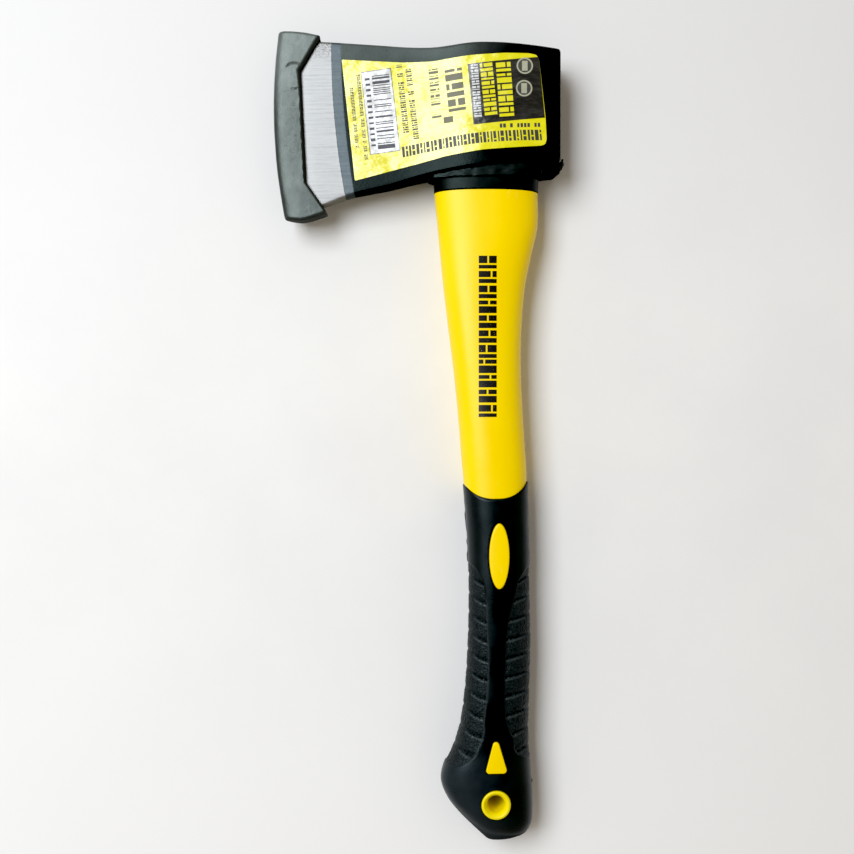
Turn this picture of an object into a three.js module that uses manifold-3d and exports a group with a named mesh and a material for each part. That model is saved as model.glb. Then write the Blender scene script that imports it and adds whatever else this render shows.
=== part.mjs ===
// Hand axe with a forged steel head, a fibreglass-cored plastic handle, a rubber grip and a rubber edge guard.
// The axe lies on its side: +Z is up through its thickness, +Y runs from the butt to the head, +X is the poll side.
// Drawing coordinates, in millimetres: x = 0 is the middle of the eye, y = 0 the lowest tip of the butt and
// z = 0 the mid-plane. The finished group is shifted so that the middle of its base is the origin.

import * as THREE from 'three';
import { mergeVertices } from 'three/addons/utils/BufferGeometryUtils.js';
import Module from 'manifold-3d';

const wasm = await Module();
wasm.setup();

// Driving dimensions ------------------------------------------------------------------------------------------

const GAP = 0.3; // clearance between pieces that touch
const THICK = 27; // head over the cheeks, and butt of the grip

// Head stations from the cutting edge to the poll: the top point, the bottom point, half the thickness there,
// and how far the line between the two points bows towards the edge.
const HEAD = [
  { top: [-96.2, 379.2], bottom: [-92.6, 296.8], half: 0.25, bow: 3.6 },
  { top: [-92.2, 378.9], bottom: [-88.5, 297.0], half: 1.2, bow: 3.3 },
  { top: [-83.0, 378.1], bottom: [-78.5, 299.0], half: 2.4, bow: 2.6 },
  { top: [-73.2, 377.2], bottom: [-66.5, 303.5], half: 3.45, bow: 1.8 },
  { top: [-68.7, 376.7], bottom: [-62.2, 304.7], half: 4.1, bow: 1.4 },
  { top: [-50.0, 374.9], bottom: [-44.4, 308.5], half: 5.7, bow: 0.6 },
  { top: [-36.0, 373.5], bottom: [-34.0, 311.4], half: 7.0, bow: 0.2 },
  { top: [-25.0, 372.9], bottom: [-25.0, 313.5], half: 8.8, bow: 0 },
  { top: [-17.0, 373.1], bottom: [-17.0, 314.7], half: 11.4, bow: 0 },
  { top: [-11.0, 373.6], bottom: [-11.0, 315.4], half: 12.7, bow: 0 },
  { top: [-6.0, 373.9], bottom: [-6.0, 316.0], half: THICK / 2, bow: 0 },
  { top: [10.0, 373.4], bottom: [10.0, 317.8], half: THICK / 2, bow: 0 },
  { top: [24.0, 372.2], bottom: [24.0, 318.6], half: 12.8, bow: 0 },
  { top: [34.2, 371.0], bottom: [34.2, 318.8], half: 11.8, bow: 0 },
];
const HEAD_FILLET = 1.5;

// Eye through the head along y: [y, half length, half width], narrowest in the middle.
const EYE = [[300, 22.4, 10.0], [316, 22.0, 9.8], [344, 21.2, 9.4], [373, 22.4, 9.9], [390, 23.2, 10.2]];
const SEAL_TOP = 323;
const EPOXY_TOP = 371.2;

// Handle tongue that stands in the eye: [y, half length, half width].
const TONGUE = [[300, 19.8, 8.3], [366, 19.4, 7.9]];

const CORE = { radius: 6.0, top: [0, 366], bottom: [5.2, 47] };

// Handle stations from the butt up: left point, right point and half the thickness between them.
const GRIP = [
  { left: [0.6, 0.0], right: [13.5, 1.0], half: 4.3 },
  { left: [-5.7, 6.2], right: [19.0, 3.9], half: 8.9 },
  { left: [-12.8, 13.3], right: [21.5, 8.2], half: 11.5 },
  { left: [-18.5, 20.4], right: [22.1, 14.5], half: 12.8 },
  { left: [-21.4, 28.0], right: [21.9, 23.0], half: 13.1 },
  { left: [-20.4, 34.7], right: [21.2, 32.0], half: 13.1 },
  { left: [-16.9, 41.8], right: [20.8, 41.0], half: 12.9 },
  { left: [-12.8, 54.5], right: [20.5, 54.0], half: 12.6 },
  { left: [-10.6, 70.2], right: [20.9, 70.2], half: 12.5 },
  { left: [-9.1, 92.0], right: [21.5, 92.0], half: 12.3 },
  { left: [-8.6, 113.2], right: [21.1, 113.2], half: 12.2 },
  { left: [-9.0, 141.5], right: [20.5, 141.5], half: 12.1 },
  { left: [-10.3, 160.0], right: [20.1, 160.0], half: 12.1 },
  { left: [-11.8, 178.0], right: [19.8, 178.0], half: 12.1 },
];
const JACKET = [
  { left: [-9.5, 150.0], right: [18.8, 150.0], half: 11.2 },
  { left: [-10.7, 170.0], right: [19.2, 170.0], half: 11.3 },
  { left: [-11.4, 177.2], right: [19.0, 177.2], half: 11.4 },
  { left: [-13.1, 198.5], right: [17.6, 198.5], half: 11.4 },
  { left: [-15.2, 220.0], right: [16.6, 220.0], half: 11.4 },
  { left: [-17.8, 241.0], right: [16.8, 241.0], half: 11.4 },
  { left: [-20.3, 262.0], right: [18.6, 262.0], half: 11.5 },
  { left: [-21.8, 277.0], right: [21.6, 277.0], half: 11.6 },
  { left: [-23.0, 290.0], right: [24.4, 290.0], half: 11.7 },
  { left: [-24.6, 305.6], right: [24.6, 305.6], half: 11.7 },
];
const SECTION_POWER = 2.35; // exponent of the handle's oval sections: 2 is an ellipse, more is squarer
const GRIP_WALL = 2.3;
const GRIP_EDGE = { middle: 4.0, low: 161.6, rise: 8.0, reach: 15.8, power: 2.6 }; // U-shaped upper edge of the grip
const GRIP_TOP_LIMIT = 176;
const HANDLE_SPAN = [-34, 42]; // x range wider than the handle at any height

const COLLAR_FOOT = 305.9; // lower edge of the collar's skirt
const REBATE_TOP = 311.4; // top of the jacket's reduced neck, inside the skirt
const REBATE_DEPTH = 1.7;
const SKIRT_PROUD = 0.5;
const SKIRT_TOP = 312.6;
const FLANGE_INSET = 0.6; // how far the flange stands back from the cheeks
const FLANGE_LEFT = -27.5;

// Raised pads of the jacket that show through windows in the grip, on both faces.
const OVAL_PAD = { x: 5.6, y: 135.2, halfWidth: 4.7, halfLength: 15.2, power: 1.95 };
const ARROW_PAD = { corners: [[4.0, 47.7], [0.9, 36.1], [7.5, 36.1]], round: 1.5 };
const RING_PAD = { x: 4.1, y: 19.8, radius: 6.85, hole: 4.0 };
const PAD_PROUD = 0.3;

// Edge guard: outer stations like the head's, its outline from above, and the pocket that the blade sits in.
const GUARD = [
  { top: [-98.4, 381.9], bottom: [-95.6, 294.2], half: 1.6, bow: 3.6 },
  { top: [-97.6, 382.4], bottom: [-94.8, 293.5], half: 2.9, bow: 3.6 },
  { top: [-95.3, 382.4], bottom: [-92.5, 293.1], half: 3.8, bow: 3.2 },
  { top: [-86.0, 381.4], bottom: [-86.0, 292.8], half: 4.8, bow: 1.7 },
  { top: [-73.0, 378.3], bottom: [-73.0, 297.0], half: 5.7, bow: 0 },
];
const GUARD_FILLET = 1.4;
const GUARD_LIP = [[-78.5, 378.4], [-87.8, 363.2], [-85.2, 310.9], [-75.7, 297.2]];
const POCKET_TOP = 379.6;
const POCKET_BOTTOM = 296.4;
const POCKET_CLEARANCE = 0.4;

// Label outline on the upper cheek, clockwise from its upper left corner.
const LABEL = [
  [-68.2, 368.3], [-39.3, 366.0], [-25.0, 365.8], [-8.1, 367.3], [8.0, 368.1], [19.3, 368.0], [22.6, 367.3],
  [23.9, 365.4], [26.9, 338.1], [27.4, 328.3], [26.7, 326.1], [24.8, 325.4], [-1.5, 323.6], [-20.3, 321.0],
  [-39.3, 316.7], [-62.0, 311.2],
];
const LABEL_GAP = 0.15;
const LABEL_THICK = 0.2;

// Joining and cutting ------------------------------------------------------------------------------------------

function signedVolume(positions, indices) {
  const corner = [new THREE.Vector3(), new THREE.Vector3(), new THREE.Vector3()];
  let volume = 0;
  for (let i = 0; i < indices.length; i += 3) {
    corner.forEach((point, k) => point.fromArray(positions, 3 * indices[i + k]));
    volume += corner[0].dot(corner[1].cross(corner[2])) / 6;
  }
  return volume;
}

function solid(geometry) {
  geometry.deleteAttribute('normal');
  geometry.deleteAttribute('uv');
  const merged = mergeVertices(geometry, 1e-4);
  const vertProperties = new Float32Array(merged.attributes.position.array);
  const triVerts = new Uint32Array(merged.index.array);
  if (signedVolume(vertProperties, triVerts) < 0) {
    for (let i = 0; i < triVerts.length; i += 3) {
      [triVerts[i], triVerts[i + 1]] = [triVerts[i + 1], triVerts[i]];
    }
  }
  return new wasm.Manifold(new wasm.Mesh({ numProp: 3, vertProperties, triVerts }));
}

function meshOf(name, body, material) {
  const { vertProperties, triVerts } = body.getMesh();
  const geometry = new THREE.BufferGeometry();
  geometry.setAttribute('position', new THREE.BufferAttribute(new Float32Array(vertProperties), 3));
  geometry.setIndex(new THREE.BufferAttribute(new Uint32Array(triVerts), 1));
  geometry.computeVertexNormals();
  const mesh = new THREE.Mesh(geometry, material);
  mesh.name = name;
  return mesh;
}

// Lofts --------------------------------------------------------------------------------------------------------

// A closed solid through rings of equal length. Each ring starts on the mid-plane, runs over the front, crosses the
// mid-plane and comes back behind, so point i and point n - i face each other, and the ends close in strips.
function loft(rings) {
  const n = rings[0].length;
  const positions = rings.flat().flatMap((point) => point.toArray());
  const indices = [];
  for (let r = 0; r + 1 < rings.length; r += 1) {
    for (let i = 0; i < n; i += 1) {
      const a = r * n + i;
      const b = r * n + ((i + 1) % n);
      indices.push(a, b, b + n, a, b + n, a + n);
    }
  }
  const close = (start, flip) => {
    for (let i = 0; i < n / 2; i += 1) {
      const quad = [start + i, start + i + 1, start + ((n - i - 1) % n), start + ((n - i) % n)];
      const faces = [[quad[0], quad[1], quad[2]], [quad[0], quad[2], quad[3]]];
      faces.filter((face) => new Set(face).size === 3)
        .forEach((face) => indices.push(...(flip ? face.reverse() : face)));
    }
  };
  close(0, true);
  close((rings.length - 1) * n, false);
  const geometry = new THREE.BufferGeometry();
  geometry.setAttribute('position', new THREE.Float32BufferAttribute(positions, 3));
  geometry.setIndex(indices);
  return solid(geometry);
}

const CORNER_STEPS = 3;
const CHEEK_STEPS = 8;

// Ring of a wedge station: a rectangle with rounded corners, standing between the bottom and top points.
function wedgeRing(station, fillet) {
  const bottom = new THREE.Vector2(...station.bottom);
  const top = new THREE.Vector2(...station.top);
  const height = bottom.distanceTo(top);
  const round = Math.min(fillet, 0.8 * station.half);
  const front = [[0, 0]];
  for (let k = 0; k <= CORNER_STEPS; k += 1) {
    const turn = (0.5 * Math.PI * k) / CORNER_STEPS;
    front.push([round * (1 - Math.cos(turn)), station.half - round * (1 - Math.sin(turn))]);
  }
  for (let k = 1; k < CHEEK_STEPS; k += 1) {
    front.push([round + ((height - 2 * round) * k) / CHEEK_STEPS, station.half]);
  }
  for (let k = CORNER_STEPS; k >= 0; k -= 1) {
    front.push([height - front[1 + k][0], front[1 + k][1]]);
  }
  front.push([height, 0]);
  const back = front.slice(1, -1).reverse().map(([along, z]) => [along, -z]);
  return front.concat(back).map(([along, z]) => {
    const v = along / height;
    const place = bottom.clone().lerp(top, v);
    return new THREE.Vector3(place.x - station.bow * 4 * v * (1 - v), place.y, z);
  });
}

const OVAL_STEPS = 32;

// Ring of an oval section between two points, with the given half thickness and exponent.
function ovalRing(left, right, half, power) {
  const middle = left.clone().add(right).multiplyScalar(0.5);
  const reach = right.clone().sub(left).multiplyScalar(0.5);
  const shape = (value) => Math.sign(value) * Math.abs(value) ** (2 / power);
  return Array.from({ length: OVAL_STEPS }, (_, i) => {
    const turn = (2 * Math.PI * i) / OVAL_STEPS;
    const across = i * 4 === OVAL_STEPS || i * 4 === 3 * OVAL_STEPS ? 0 : shape(Math.cos(turn));
    const up = i * 2 % OVAL_STEPS === 0 ? 0 : shape(Math.sin(turn));
    const place = middle.clone().addScaledVector(reach, across);
    return new THREE.Vector3(place.x, place.y, half * up);
  });
}

// Loft through handle stations, shrunk on all sides by inset (negative swells it), on smooth side curves.
function handleLoft(stations, inset, stepsPerStation) {
  const left = new THREE.CatmullRomCurve3(stations.map((s) => new THREE.Vector3(...s.left, s.half)));
  const right = new THREE.CatmullRomCurve3(stations.map((s) => new THREE.Vector3(...s.right, 0)));
  const count = (stations.length - 1) * stepsPerStation;
  const rings = Array.from({ length: count + 1 }, (_, i) => {
    const a = left.getPoint(i / count);
    const b = right.getPoint(i / count);
    const from = new THREE.Vector2(a.x, a.y);
    const to = new THREE.Vector2(b.x, b.y);
    const step = to.clone().sub(from).normalize().multiplyScalar(inset);
    return ovalRing(from.add(step), to.sub(step), a.z - inset, SECTION_POWER);
  });
  return loft(rings);
}

// Loft of upright ovals centred on x = 0, from rows of [y, half length, half width].
function towerLoft(rows, grow, power) {
  return loft(rows.map(([y, halfLength, halfWidth]) => ovalRing(
    new THREE.Vector2(-halfLength - grow, y),
    new THREE.Vector2(halfLength + grow, y),
    halfWidth + grow,
    power,
  )));
}

// A prism along z over an outline of [x, y] points.
function prism(outline, low, high) {
  const shape = new THREE.Shape(outline.map(([x, y]) => new THREE.Vector2(x, y)));
  const geometry = new THREE.ExtrudeGeometry(shape, { depth: high - low, bevelEnabled: false });
  geometry.translate(0, 0, low);
  return solid(geometry);
}

function slab(outline) {
  return prism(outline, -THICK, THICK);
}

// Head ---------------------------------------------------------------------------------------------------------

const headBlank = loft(HEAD.map((station) => wedgeRing(station, HEAD_FILLET)));

function underside(drop) {
  return HEAD.filter((s) => s.bottom[0] > FLANGE_LEFT).map((s) => [s.bottom[0], s.bottom[1] - drop]);
}

function axeHead() {
  return headBlank.subtract(towerLoft(EYE, 0, 2));
}

function eyeSeal() {
  const side = [...underside(0), [40, SEAL_TOP], [FLANGE_LEFT, SEAL_TOP]];
  return towerLoft(EYE, -GAP, 2).intersect(slab(side)).subtract(towerLoft(TONGUE, GAP, SECTION_POWER));
}

function eyeEpoxy() {
  const low = SEAL_TOP + GAP;
  const side = [[-30, low], [30, low], [30, EPOXY_TOP], [-30, EPOXY_TOP]];
  const fill = towerLoft(EYE, -GAP, 2).intersect(slab(side));
  const socket = towerLoft([TONGUE[0], [TONGUE[1][0] + GAP, ...TONGUE[1].slice(1)]], GAP, SECTION_POWER);
  return fill.subtract(socket);
}

// Collar -------------------------------------------------------------------------------------------------------

const neck = JACKET[JACKET.length - 1];

// Oval block the size of the jacket's neck, grown by grow, from one height to another.
function neckBlock(grow, low, high) {
  const ring = (y) => ovalRing(
    new THREE.Vector2(neck.left[0] - grow, y),
    new THREE.Vector2(neck.right[0] + grow, y),
    neck.half + grow,
    SECTION_POWER,
  );
  return loft([ring(low), ring(high)]);
}

function neckCollar() {
  const skirt = neckBlock(SKIRT_PROUD, COLLAR_FOOT, SKIRT_TOP);
  const profile = [
    [FLANGE_LEFT, 311.7], [25.1, 311.9], [25.4, 314.8], [33.0, 315.4], [36.3, 317.6], [35.9, 319.7],
    [34.6, 320.1],
    [34.5, 318.4], ...underside(GAP).reverse().slice(1), [FLANGE_LEFT, 312.5],
  ];
  const outline = [
    [FLANGE_LEFT, 5],
    ...HEAD.filter((s) => s.bottom[0] > FLANGE_LEFT).map((s) => [s.bottom[0], s.half - FLANGE_INSET]),
    [35.6, 10.6],
    [36.4, 8.6],
  ];
  const around = outline.concat(outline.slice().reverse().map(([x, z]) => [x, -z]));
  const plan = new THREE.Shape(around.map(([x, z]) => new THREE.Vector2(x, z)));
  const footprint = new THREE.ExtrudeGeometry(plan, { depth: 20, bevelEnabled: false });
  footprint.rotateX(Math.PI / 2);
  footprint.translate(0, 325, 0);
  return slab(profile)
    .intersect(solid(footprint))
    .add(skirt)
    .subtract(neckBlock(GAP - REBATE_DEPTH, COLLAR_FOOT - 5, REBATE_TOP + GAP))
    .subtract(towerLoft(TONGUE, GAP, SECTION_POWER));
}

// Handle -------------------------------------------------------------------------------------------------------

// Region on one side of the grip's upper edge, shifted up by rise and closed at the height endY.
function besideGripEdge(rise, endY) {
  const { middle, low, rise: depth, reach, power } = GRIP_EDGE;
  const [start, end] = HANDLE_SPAN;
  const edge = Array.from({ length: 25 }, (_, i) => {
    const x = start + ((end - start) * i) / 24;
    return [x, Math.min(GRIP_TOP_LIMIT, low + depth * Math.abs((x - middle) / reach) ** power) + rise];
  });
  return slab([...edge, [end, endY], [start, endY]]);
}

function ovalOutline({ x, y, halfWidth, halfLength, power }, grow) {
  const reach = new THREE.Vector2(halfWidth + grow, halfLength + grow);
  const shape = (value) => Math.sign(value) * Math.abs(value) ** (2 / power);
  return Array.from({ length: 32 }, (_, i) => {
    const turn = (2 * Math.PI * (i + 0.5)) / 32;
    return [x + reach.x * shape(Math.cos(turn)), y + reach.y * shape(Math.sin(turn))];
  });
}

// A triangle with round corners, as three arcs about its corner centres, the tip pointing to the head.
function arrowOutline({ corners, round }, grow) {
  const centre = corners.reduce((sum, [x, y]) => [sum[0] + x / 3, sum[1] + y / 3], [0, 0]);
  return corners.flatMap(([x, y]) => {
    const facing = Math.atan2(y - centre[1], x - centre[0]);
    return [-2, -1, 0, 1, 2].map((k) => {
      const turn = facing + k * 0.4;
      return [x + (round + grow) * Math.cos(turn), y + (round + grow) * Math.sin(turn)];
    });
  });
}

function ringOutline({ x, y, radius }, grow) {
  return ovalOutline({ x, y, halfWidth: radius, halfLength: radius, power: 2 }, grow);
}

function padOutlines(grow) {
  return [ovalOutline(OVAL_PAD, grow), arrowOutline(ARROW_PAD, grow), ringOutline(RING_PAD, grow)];
}

// Bar of the fibreglass core, grown by grow and run on past its upper end by extra.
function coreBar(grow, extra) {
  const bottom = new THREE.Vector3(...CORE.bottom, 0);
  const top = new THREE.Vector3(...CORE.top, 0);
  const along = top.clone().sub(bottom).normalize();
  bottom.addScaledVector(along, -grow);
  top.addScaledVector(along, extra);
  const bar = new THREE.CylinderGeometry(CORE.radius + grow, CORE.radius + grow, bottom.distanceTo(top), 32);
  bar.applyQuaternion(new THREE.Quaternion().setFromUnitVectors(new THREE.Vector3(0, 1, 0), along));
  bar.translate(...bottom.add(top).multiplyScalar(0.5).toArray());
  return solid(bar);
}

function handleJacket() {
  const shown = handleLoft(JACKET, 0, 2).intersect(besideGripEdge(GAP, 330));
  const hidden = handleLoft(GRIP.slice(1), GRIP_WALL + GAP, 1);
  const pads = padOutlines(0).map((outline) => slab(outline));
  const proud = handleLoft(GRIP, -PAD_PROUD, 2);
  const hole = slab(ringOutline({ ...RING_PAD, radius: RING_PAD.hole }, 0));
  return shown
    .add(hidden)
    .add(wasm.Manifold.union(pads).intersect(proud))
    .add(neckBlock(-REBATE_DEPTH, neck.left[1] - 2, REBATE_TOP))
    .add(towerLoft(TONGUE, 0, SECTION_POWER))
    .subtract(coreBar(GAP, 10))
    .subtract(hole);
}

function gripSleeve() {
  const windows = padOutlines(GAP).map((outline) => slab(outline));
  return handleLoft(GRIP, 0, 2)
    .intersect(besideGripEdge(0, -10))
    .subtract(handleLoft(GRIP.slice(1), GRIP_WALL, 1))
    .subtract(wasm.Manifold.union(windows));
}

// Guard and label ----------------------------------------------------------------------------------------------

function edgeGuard() {
  const outer = loft(GUARD.map((station) => wedgeRing(station, GUARD_FILLET)));
  const plan = slab([[-110, 385], [-78.5, 385], ...GUARD_LIP, [-75.7, 290], [-110, 290]]);
  const pocket = HEAD.slice(0, 5).map((s, i) => ({
    top: [s.top[0] - (i === 0 ? 0.6 : 0), POCKET_TOP],
    bottom: [s.bottom[0] - (i === 0 ? 0.6 : 0), POCKET_BOTTOM],
    half: s.half + POCKET_CLEARANCE,
    bow: s.bow,
  }));
  return outer.intersect(plan).subtract(loft(pocket.map((station) => wedgeRing(station, 0.2))));
}

function cheekLabel() {
  const above = headBlank.translate([0, 0, LABEL_GAP + LABEL_THICK]);
  return prism(LABEL, 0, THICK).intersect(above).subtract(headBlank.translate([0, 0, LABEL_GAP]));
}

// Assembly -----------------------------------------------------------------------------------------------------

function finish(color, roughness, metalness) {
  return new THREE.MeshStandardMaterial({ color, roughness, metalness });
}

const axe = new THREE.Group();
axe.add(
  meshOf('axe_head', axeHead(), finish(0x2b2f2f, 0.35, 0.6)),
  meshOf('eye_seal', eyeSeal(), finish(0x222222, 0.8, 0)),
  meshOf('eye_epoxy', eyeEpoxy(), finish(0x3a3a34, 0.3, 0)),
  meshOf('neck_collar', neckCollar(), finish(0x1c1c1c, 0.75, 0)),
  meshOf('fibreglass_core', coreBar(0, 0), finish(0xcfc9a8, 0.5, 0)),
  meshOf('handle_jacket', handleJacket(), finish(0xf2e21b, 0.4, 0)),
  meshOf('grip_sleeve', gripSleeve(), finish(0x232527, 0.7, 0)),
  meshOf('edge_guard', edgeGuard(), finish(0x34393a, 0.65, 0)),
  meshOf('cheek_label', cheekLabel(), finish(0xe8e04a, 0.3, 0)),
);

const box = new THREE.Box3().setFromObject(axe);
const base = box.getCenter(new THREE.Vector3()).setZ(box.min.z);
axe.position.sub(base);

const part = new THREE.Group();
part.add(axe);
part.updateMatrixWorld(true);

export default part;
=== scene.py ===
"""Looks of the hand axe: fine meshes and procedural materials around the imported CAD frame.

Shapes are given in drawing coordinates, in millimetres: x = 0 is the middle of the eye, y = 0 the lowest
tip of the butt, z = 0 the mid-plane; +X is the poll side, +Y the head and +Z up through the thickness.
"""

import math

import bmesh
import bpy
import numpy as np
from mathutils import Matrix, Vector
from mathutils.bvhtree import BVHTree

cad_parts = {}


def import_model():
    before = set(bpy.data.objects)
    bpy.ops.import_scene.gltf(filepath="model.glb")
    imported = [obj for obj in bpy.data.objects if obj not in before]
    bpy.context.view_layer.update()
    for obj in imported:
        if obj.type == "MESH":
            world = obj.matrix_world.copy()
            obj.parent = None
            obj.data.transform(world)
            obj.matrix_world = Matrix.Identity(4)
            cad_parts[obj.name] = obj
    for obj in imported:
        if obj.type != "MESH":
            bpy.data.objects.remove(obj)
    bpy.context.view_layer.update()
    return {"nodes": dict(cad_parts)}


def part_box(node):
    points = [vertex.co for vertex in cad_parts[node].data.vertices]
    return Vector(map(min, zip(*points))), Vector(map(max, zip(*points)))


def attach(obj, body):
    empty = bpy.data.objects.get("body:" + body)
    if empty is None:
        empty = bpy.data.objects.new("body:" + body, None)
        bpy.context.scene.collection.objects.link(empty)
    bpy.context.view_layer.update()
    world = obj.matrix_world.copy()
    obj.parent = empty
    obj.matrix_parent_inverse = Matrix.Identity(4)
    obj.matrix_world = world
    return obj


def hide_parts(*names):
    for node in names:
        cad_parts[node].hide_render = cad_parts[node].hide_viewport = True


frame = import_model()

# Drawing coordinates -----------------------------------------

MM = 0.001
POLL_X = 34.2
HEAD_LOW, HEAD_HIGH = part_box("axe_head")
GRIP_LOW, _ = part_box("grip_sleeve")
ORIGIN = np.array([
    HEAD_HIGH.x / MM - POLL_X,
    GRIP_LOW.y / MM,
    (HEAD_LOW.z + HEAD_HIGH.z) / 2 / MM,
])
GAP = 0.3
THICK = 27.0


def world(points):
    return (np.asarray(points, float) + ORIGIN) * MM


# Driving shapes. A station is (left or top point, right or bottom point, half thickness[, bow to the left])

GRIP = [
    ((0.6, 0.0), (13.5, 1.0), 4.3),
    ((-5.7, 6.2), (19.0, 3.9), 8.9),
    ((-12.8, 13.3), (21.5, 8.2), 11.5),
    ((-18.5, 20.4), (22.1, 14.5), 12.8),
    ((-21.4, 28.0), (21.9, 23.0), 13.1),
    ((-20.4, 34.7), (21.2, 32.0), 13.1),
    ((-16.9, 41.8), (20.8, 41.0), 12.9),
    ((-12.8, 54.5), (20.5, 54.0), 12.6),
    ((-10.6, 70.2), (20.9, 70.2), 12.5),
    ((-9.1, 92.0), (21.5, 92.0), 12.3),
    ((-8.6, 113.2), (21.1, 113.2), 12.2),
    ((-9.0, 141.5), (20.5, 141.5), 12.1),
    ((-10.3, 160.0), (20.1, 160.0), 12.1),
    ((-11.8, 178.0), (19.8, 178.0), 12.1),
]
JACKET = [
    ((-9.5, 150.0), (18.8, 150.0), 11.2),
    ((-10.7, 170.0), (19.2, 170.0), 11.3),
    ((-11.4, 177.2), (19.0, 177.2), 11.4),
    ((-13.1, 198.5), (17.6, 198.5), 11.4),
    ((-15.2, 220.0), (16.6, 220.0), 11.4),
    ((-17.8, 241.0), (16.8, 241.0), 11.4),
    ((-20.3, 262.0), (18.6, 262.0), 11.5),
    ((-21.8, 277.0), (21.6, 277.0), 11.6),
    ((-23.0, 290.0), (24.4, 290.0), 11.7),
    ((-24.6, 305.6), (24.6, 305.6), 11.7),
]
SECTION_POWER = 2.35
GRIP_WALL = 2.3
HANDLE_SPAN = (-34, 42)
U_EDGE = {"middle": 4.0, "low": 161.6, "rise": 8.0, "reach": 15.8, "power": 2.6, "top": 176}

HEAD = [
    ((-96.2, 379.2), (-92.6, 296.8), 0.25, 3.6),
    ((-92.2, 378.9), (-88.5, 297.0), 1.2, 3.3),
    ((-83.0, 378.1), (-78.5, 299.0), 2.4, 2.6),
    ((-73.2, 377.2), (-66.5, 303.5), 3.45, 1.8),
    ((-68.7, 376.7), (-62.2, 304.7), 4.1, 1.4),
    ((-50.0, 374.9), (-44.4, 308.5), 5.7, 0.6),
    ((-36.0, 373.5), (-34.0, 311.4), 7.0, 0.2),
    ((-25.0, 372.9), (-25.0, 313.5), 8.8, 0.0),
    ((-17.0, 373.1), (-17.0, 314.7), 11.0, 0.0),
    ((-11.0, 373.6), (-11.0, 315.4), 12.3, 0.0),
    ((-5.0, 373.9), (-5.0, 316.1), 13.1, 0.0),
    ((3.0, 373.8), (3.0, 317.1), 13.45, 0.0),
    ((12.0, 373.3), (12.0, 318.0), 13.45, 0.0),
    ((24.0, 372.2), (24.0, 318.6), 12.8, 0.0),
    ((34.2, 371.0), (34.2, 318.8), 11.8, 0.0),
]
PAINT_STATION = 3
FACET_STATION = 4
HEAD_FILLET = 1.5

EYE = [
    (300, 22.4, 10.0), (314.6, 23.0, 10.8), (315.6, 22.0, 9.8), (344, 21.2, 9.4),
    (370.2, 22.3, 9.8), (372.2, 23.0, 10.5), (390, 28.0, 15.5),
]
EPOXY = {"low": 323.3, "top": 371.2}
TONGUE = [(300, 19.8, 8.3), (366, 19.4, 7.9)]
CORE = {"radius": 6.0, "top": (0.0, 366.0), "bottom": (5.2, 47.0)}

COLLAR_FOOT = 305.9
REBATE_TOP = 311.4
REBATE_DEPTH = 1.7
SKIRT_PROUD = 0.35
SKIRT_TOP = 312.6
FLANGE_LEFT = -27.5
FLANGE_INSET = 0.6
FLANGE_GAP = 0.12
FLANGE_NOSE = [
    (25.1, 311.9), (25.4, 314.8), (33.0, 315.4), (36.3, 317.6), (35.9, 319.7), (34.6, 320.1), (34.5, 318.4),
]

OVAL_PAD = {"x": 5.6, "y": 135.2, "half_width": 4.7, "half_length": 15.2, "power": 1.95}
ARROW_PAD = {"corners": [(4.0, 47.7), (0.9, 36.1), (7.5, 36.1)], "round": 1.5}
RING_PAD = {"x": 4.1, "y": 19.8, "radius": 6.85, "hole": 4.0}
PAD_PROUD = 0.3

GUARD = [
    ((-98.4, 381.7), (-95.6, 294.6), 0.9, 3.6),
    ((-98.25, 382.1), (-95.45, 294.1), 1.75, 3.6),
    ((-97.8, 382.3), (-95.0, 293.6), 2.6, 3.6),
    ((-97.0, 382.4), (-94.2, 293.4), 3.15, 3.5),
    ((-95.3, 382.4), (-92.5, 293.1), 3.8, 3.2),
    ((-86.0, 381.4), (-86.0, 292.8), 4.8, 1.7),
    ((-73.0, 378.3), (-73.0, 297.0), 5.7, 0.0),
]
GUARD_FILLET = 1.4
GUARD_LIP = [(-78.5, 378.4), (-87.8, 363.2), (-85.2, 310.9), (-75.7, 297.2)]
POCKET_TOP = 379.6
POCKET_BOTTOM = 296.4
POCKET_CLEARANCE = 0.4

LABEL = [
    (-68.2, 368.3), (-39.3, 366.0), (-25.0, 365.8), (-8.1, 367.3), (8.0, 368.1), (19.3, 368.0), (22.6, 367.3),
    (23.9, 365.4), (26.9, 338.1), (27.4, 328.3), (26.7, 326.1), (24.8, 325.4), (-1.5, 323.6), (-20.3, 321.0),
    (-39.3, 316.7), (-62.0, 311.2),
]
LABEL_GAP = 0.15
LABEL_THICK = 0.2


# Curves, noise and distances ---------------------------------

def catmull(points, at):
    """Centripetal Catmull-Rom curve through points, at parameters from 0 to the last index."""
    p = np.asarray(points, float)
    last = len(p) - 2
    p = np.vstack([2 * p[0] - p[1], p, 2 * p[-1] - p[-2]])
    at = np.asarray(at, float)
    k = np.clip(np.floor(at).astype(int), 0, last)
    u = (at - k)[:, None]
    a, b, c, d = (p[k + j] for j in range(4))

    def gap(q, r):
        return np.sqrt(np.maximum(np.linalg.norm(r - q, axis=1, keepdims=True), 1e-6))

    d0, d1, d2 = gap(a, b), gap(b, c), gap(c, d)
    leave = ((b - a) / d0 - (c - a) / (d0 + d1)) * d1 + (c - b)
    reach = ((d - c) / d2 - (d - b) / (d1 + d2)) * d1 + (c - b)
    return (
        (2 * u**3 - 3 * u**2 + 1) * b + (u**3 - 2 * u**2 + u) * leave
        + (3 * u**2 - 2 * u**3) * c + (u**3 - u**2) * reach
    )


def smoothstep(value):
    value = np.clip(value, 0, 1)
    return value * value * (3 - 2 * value)


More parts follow.
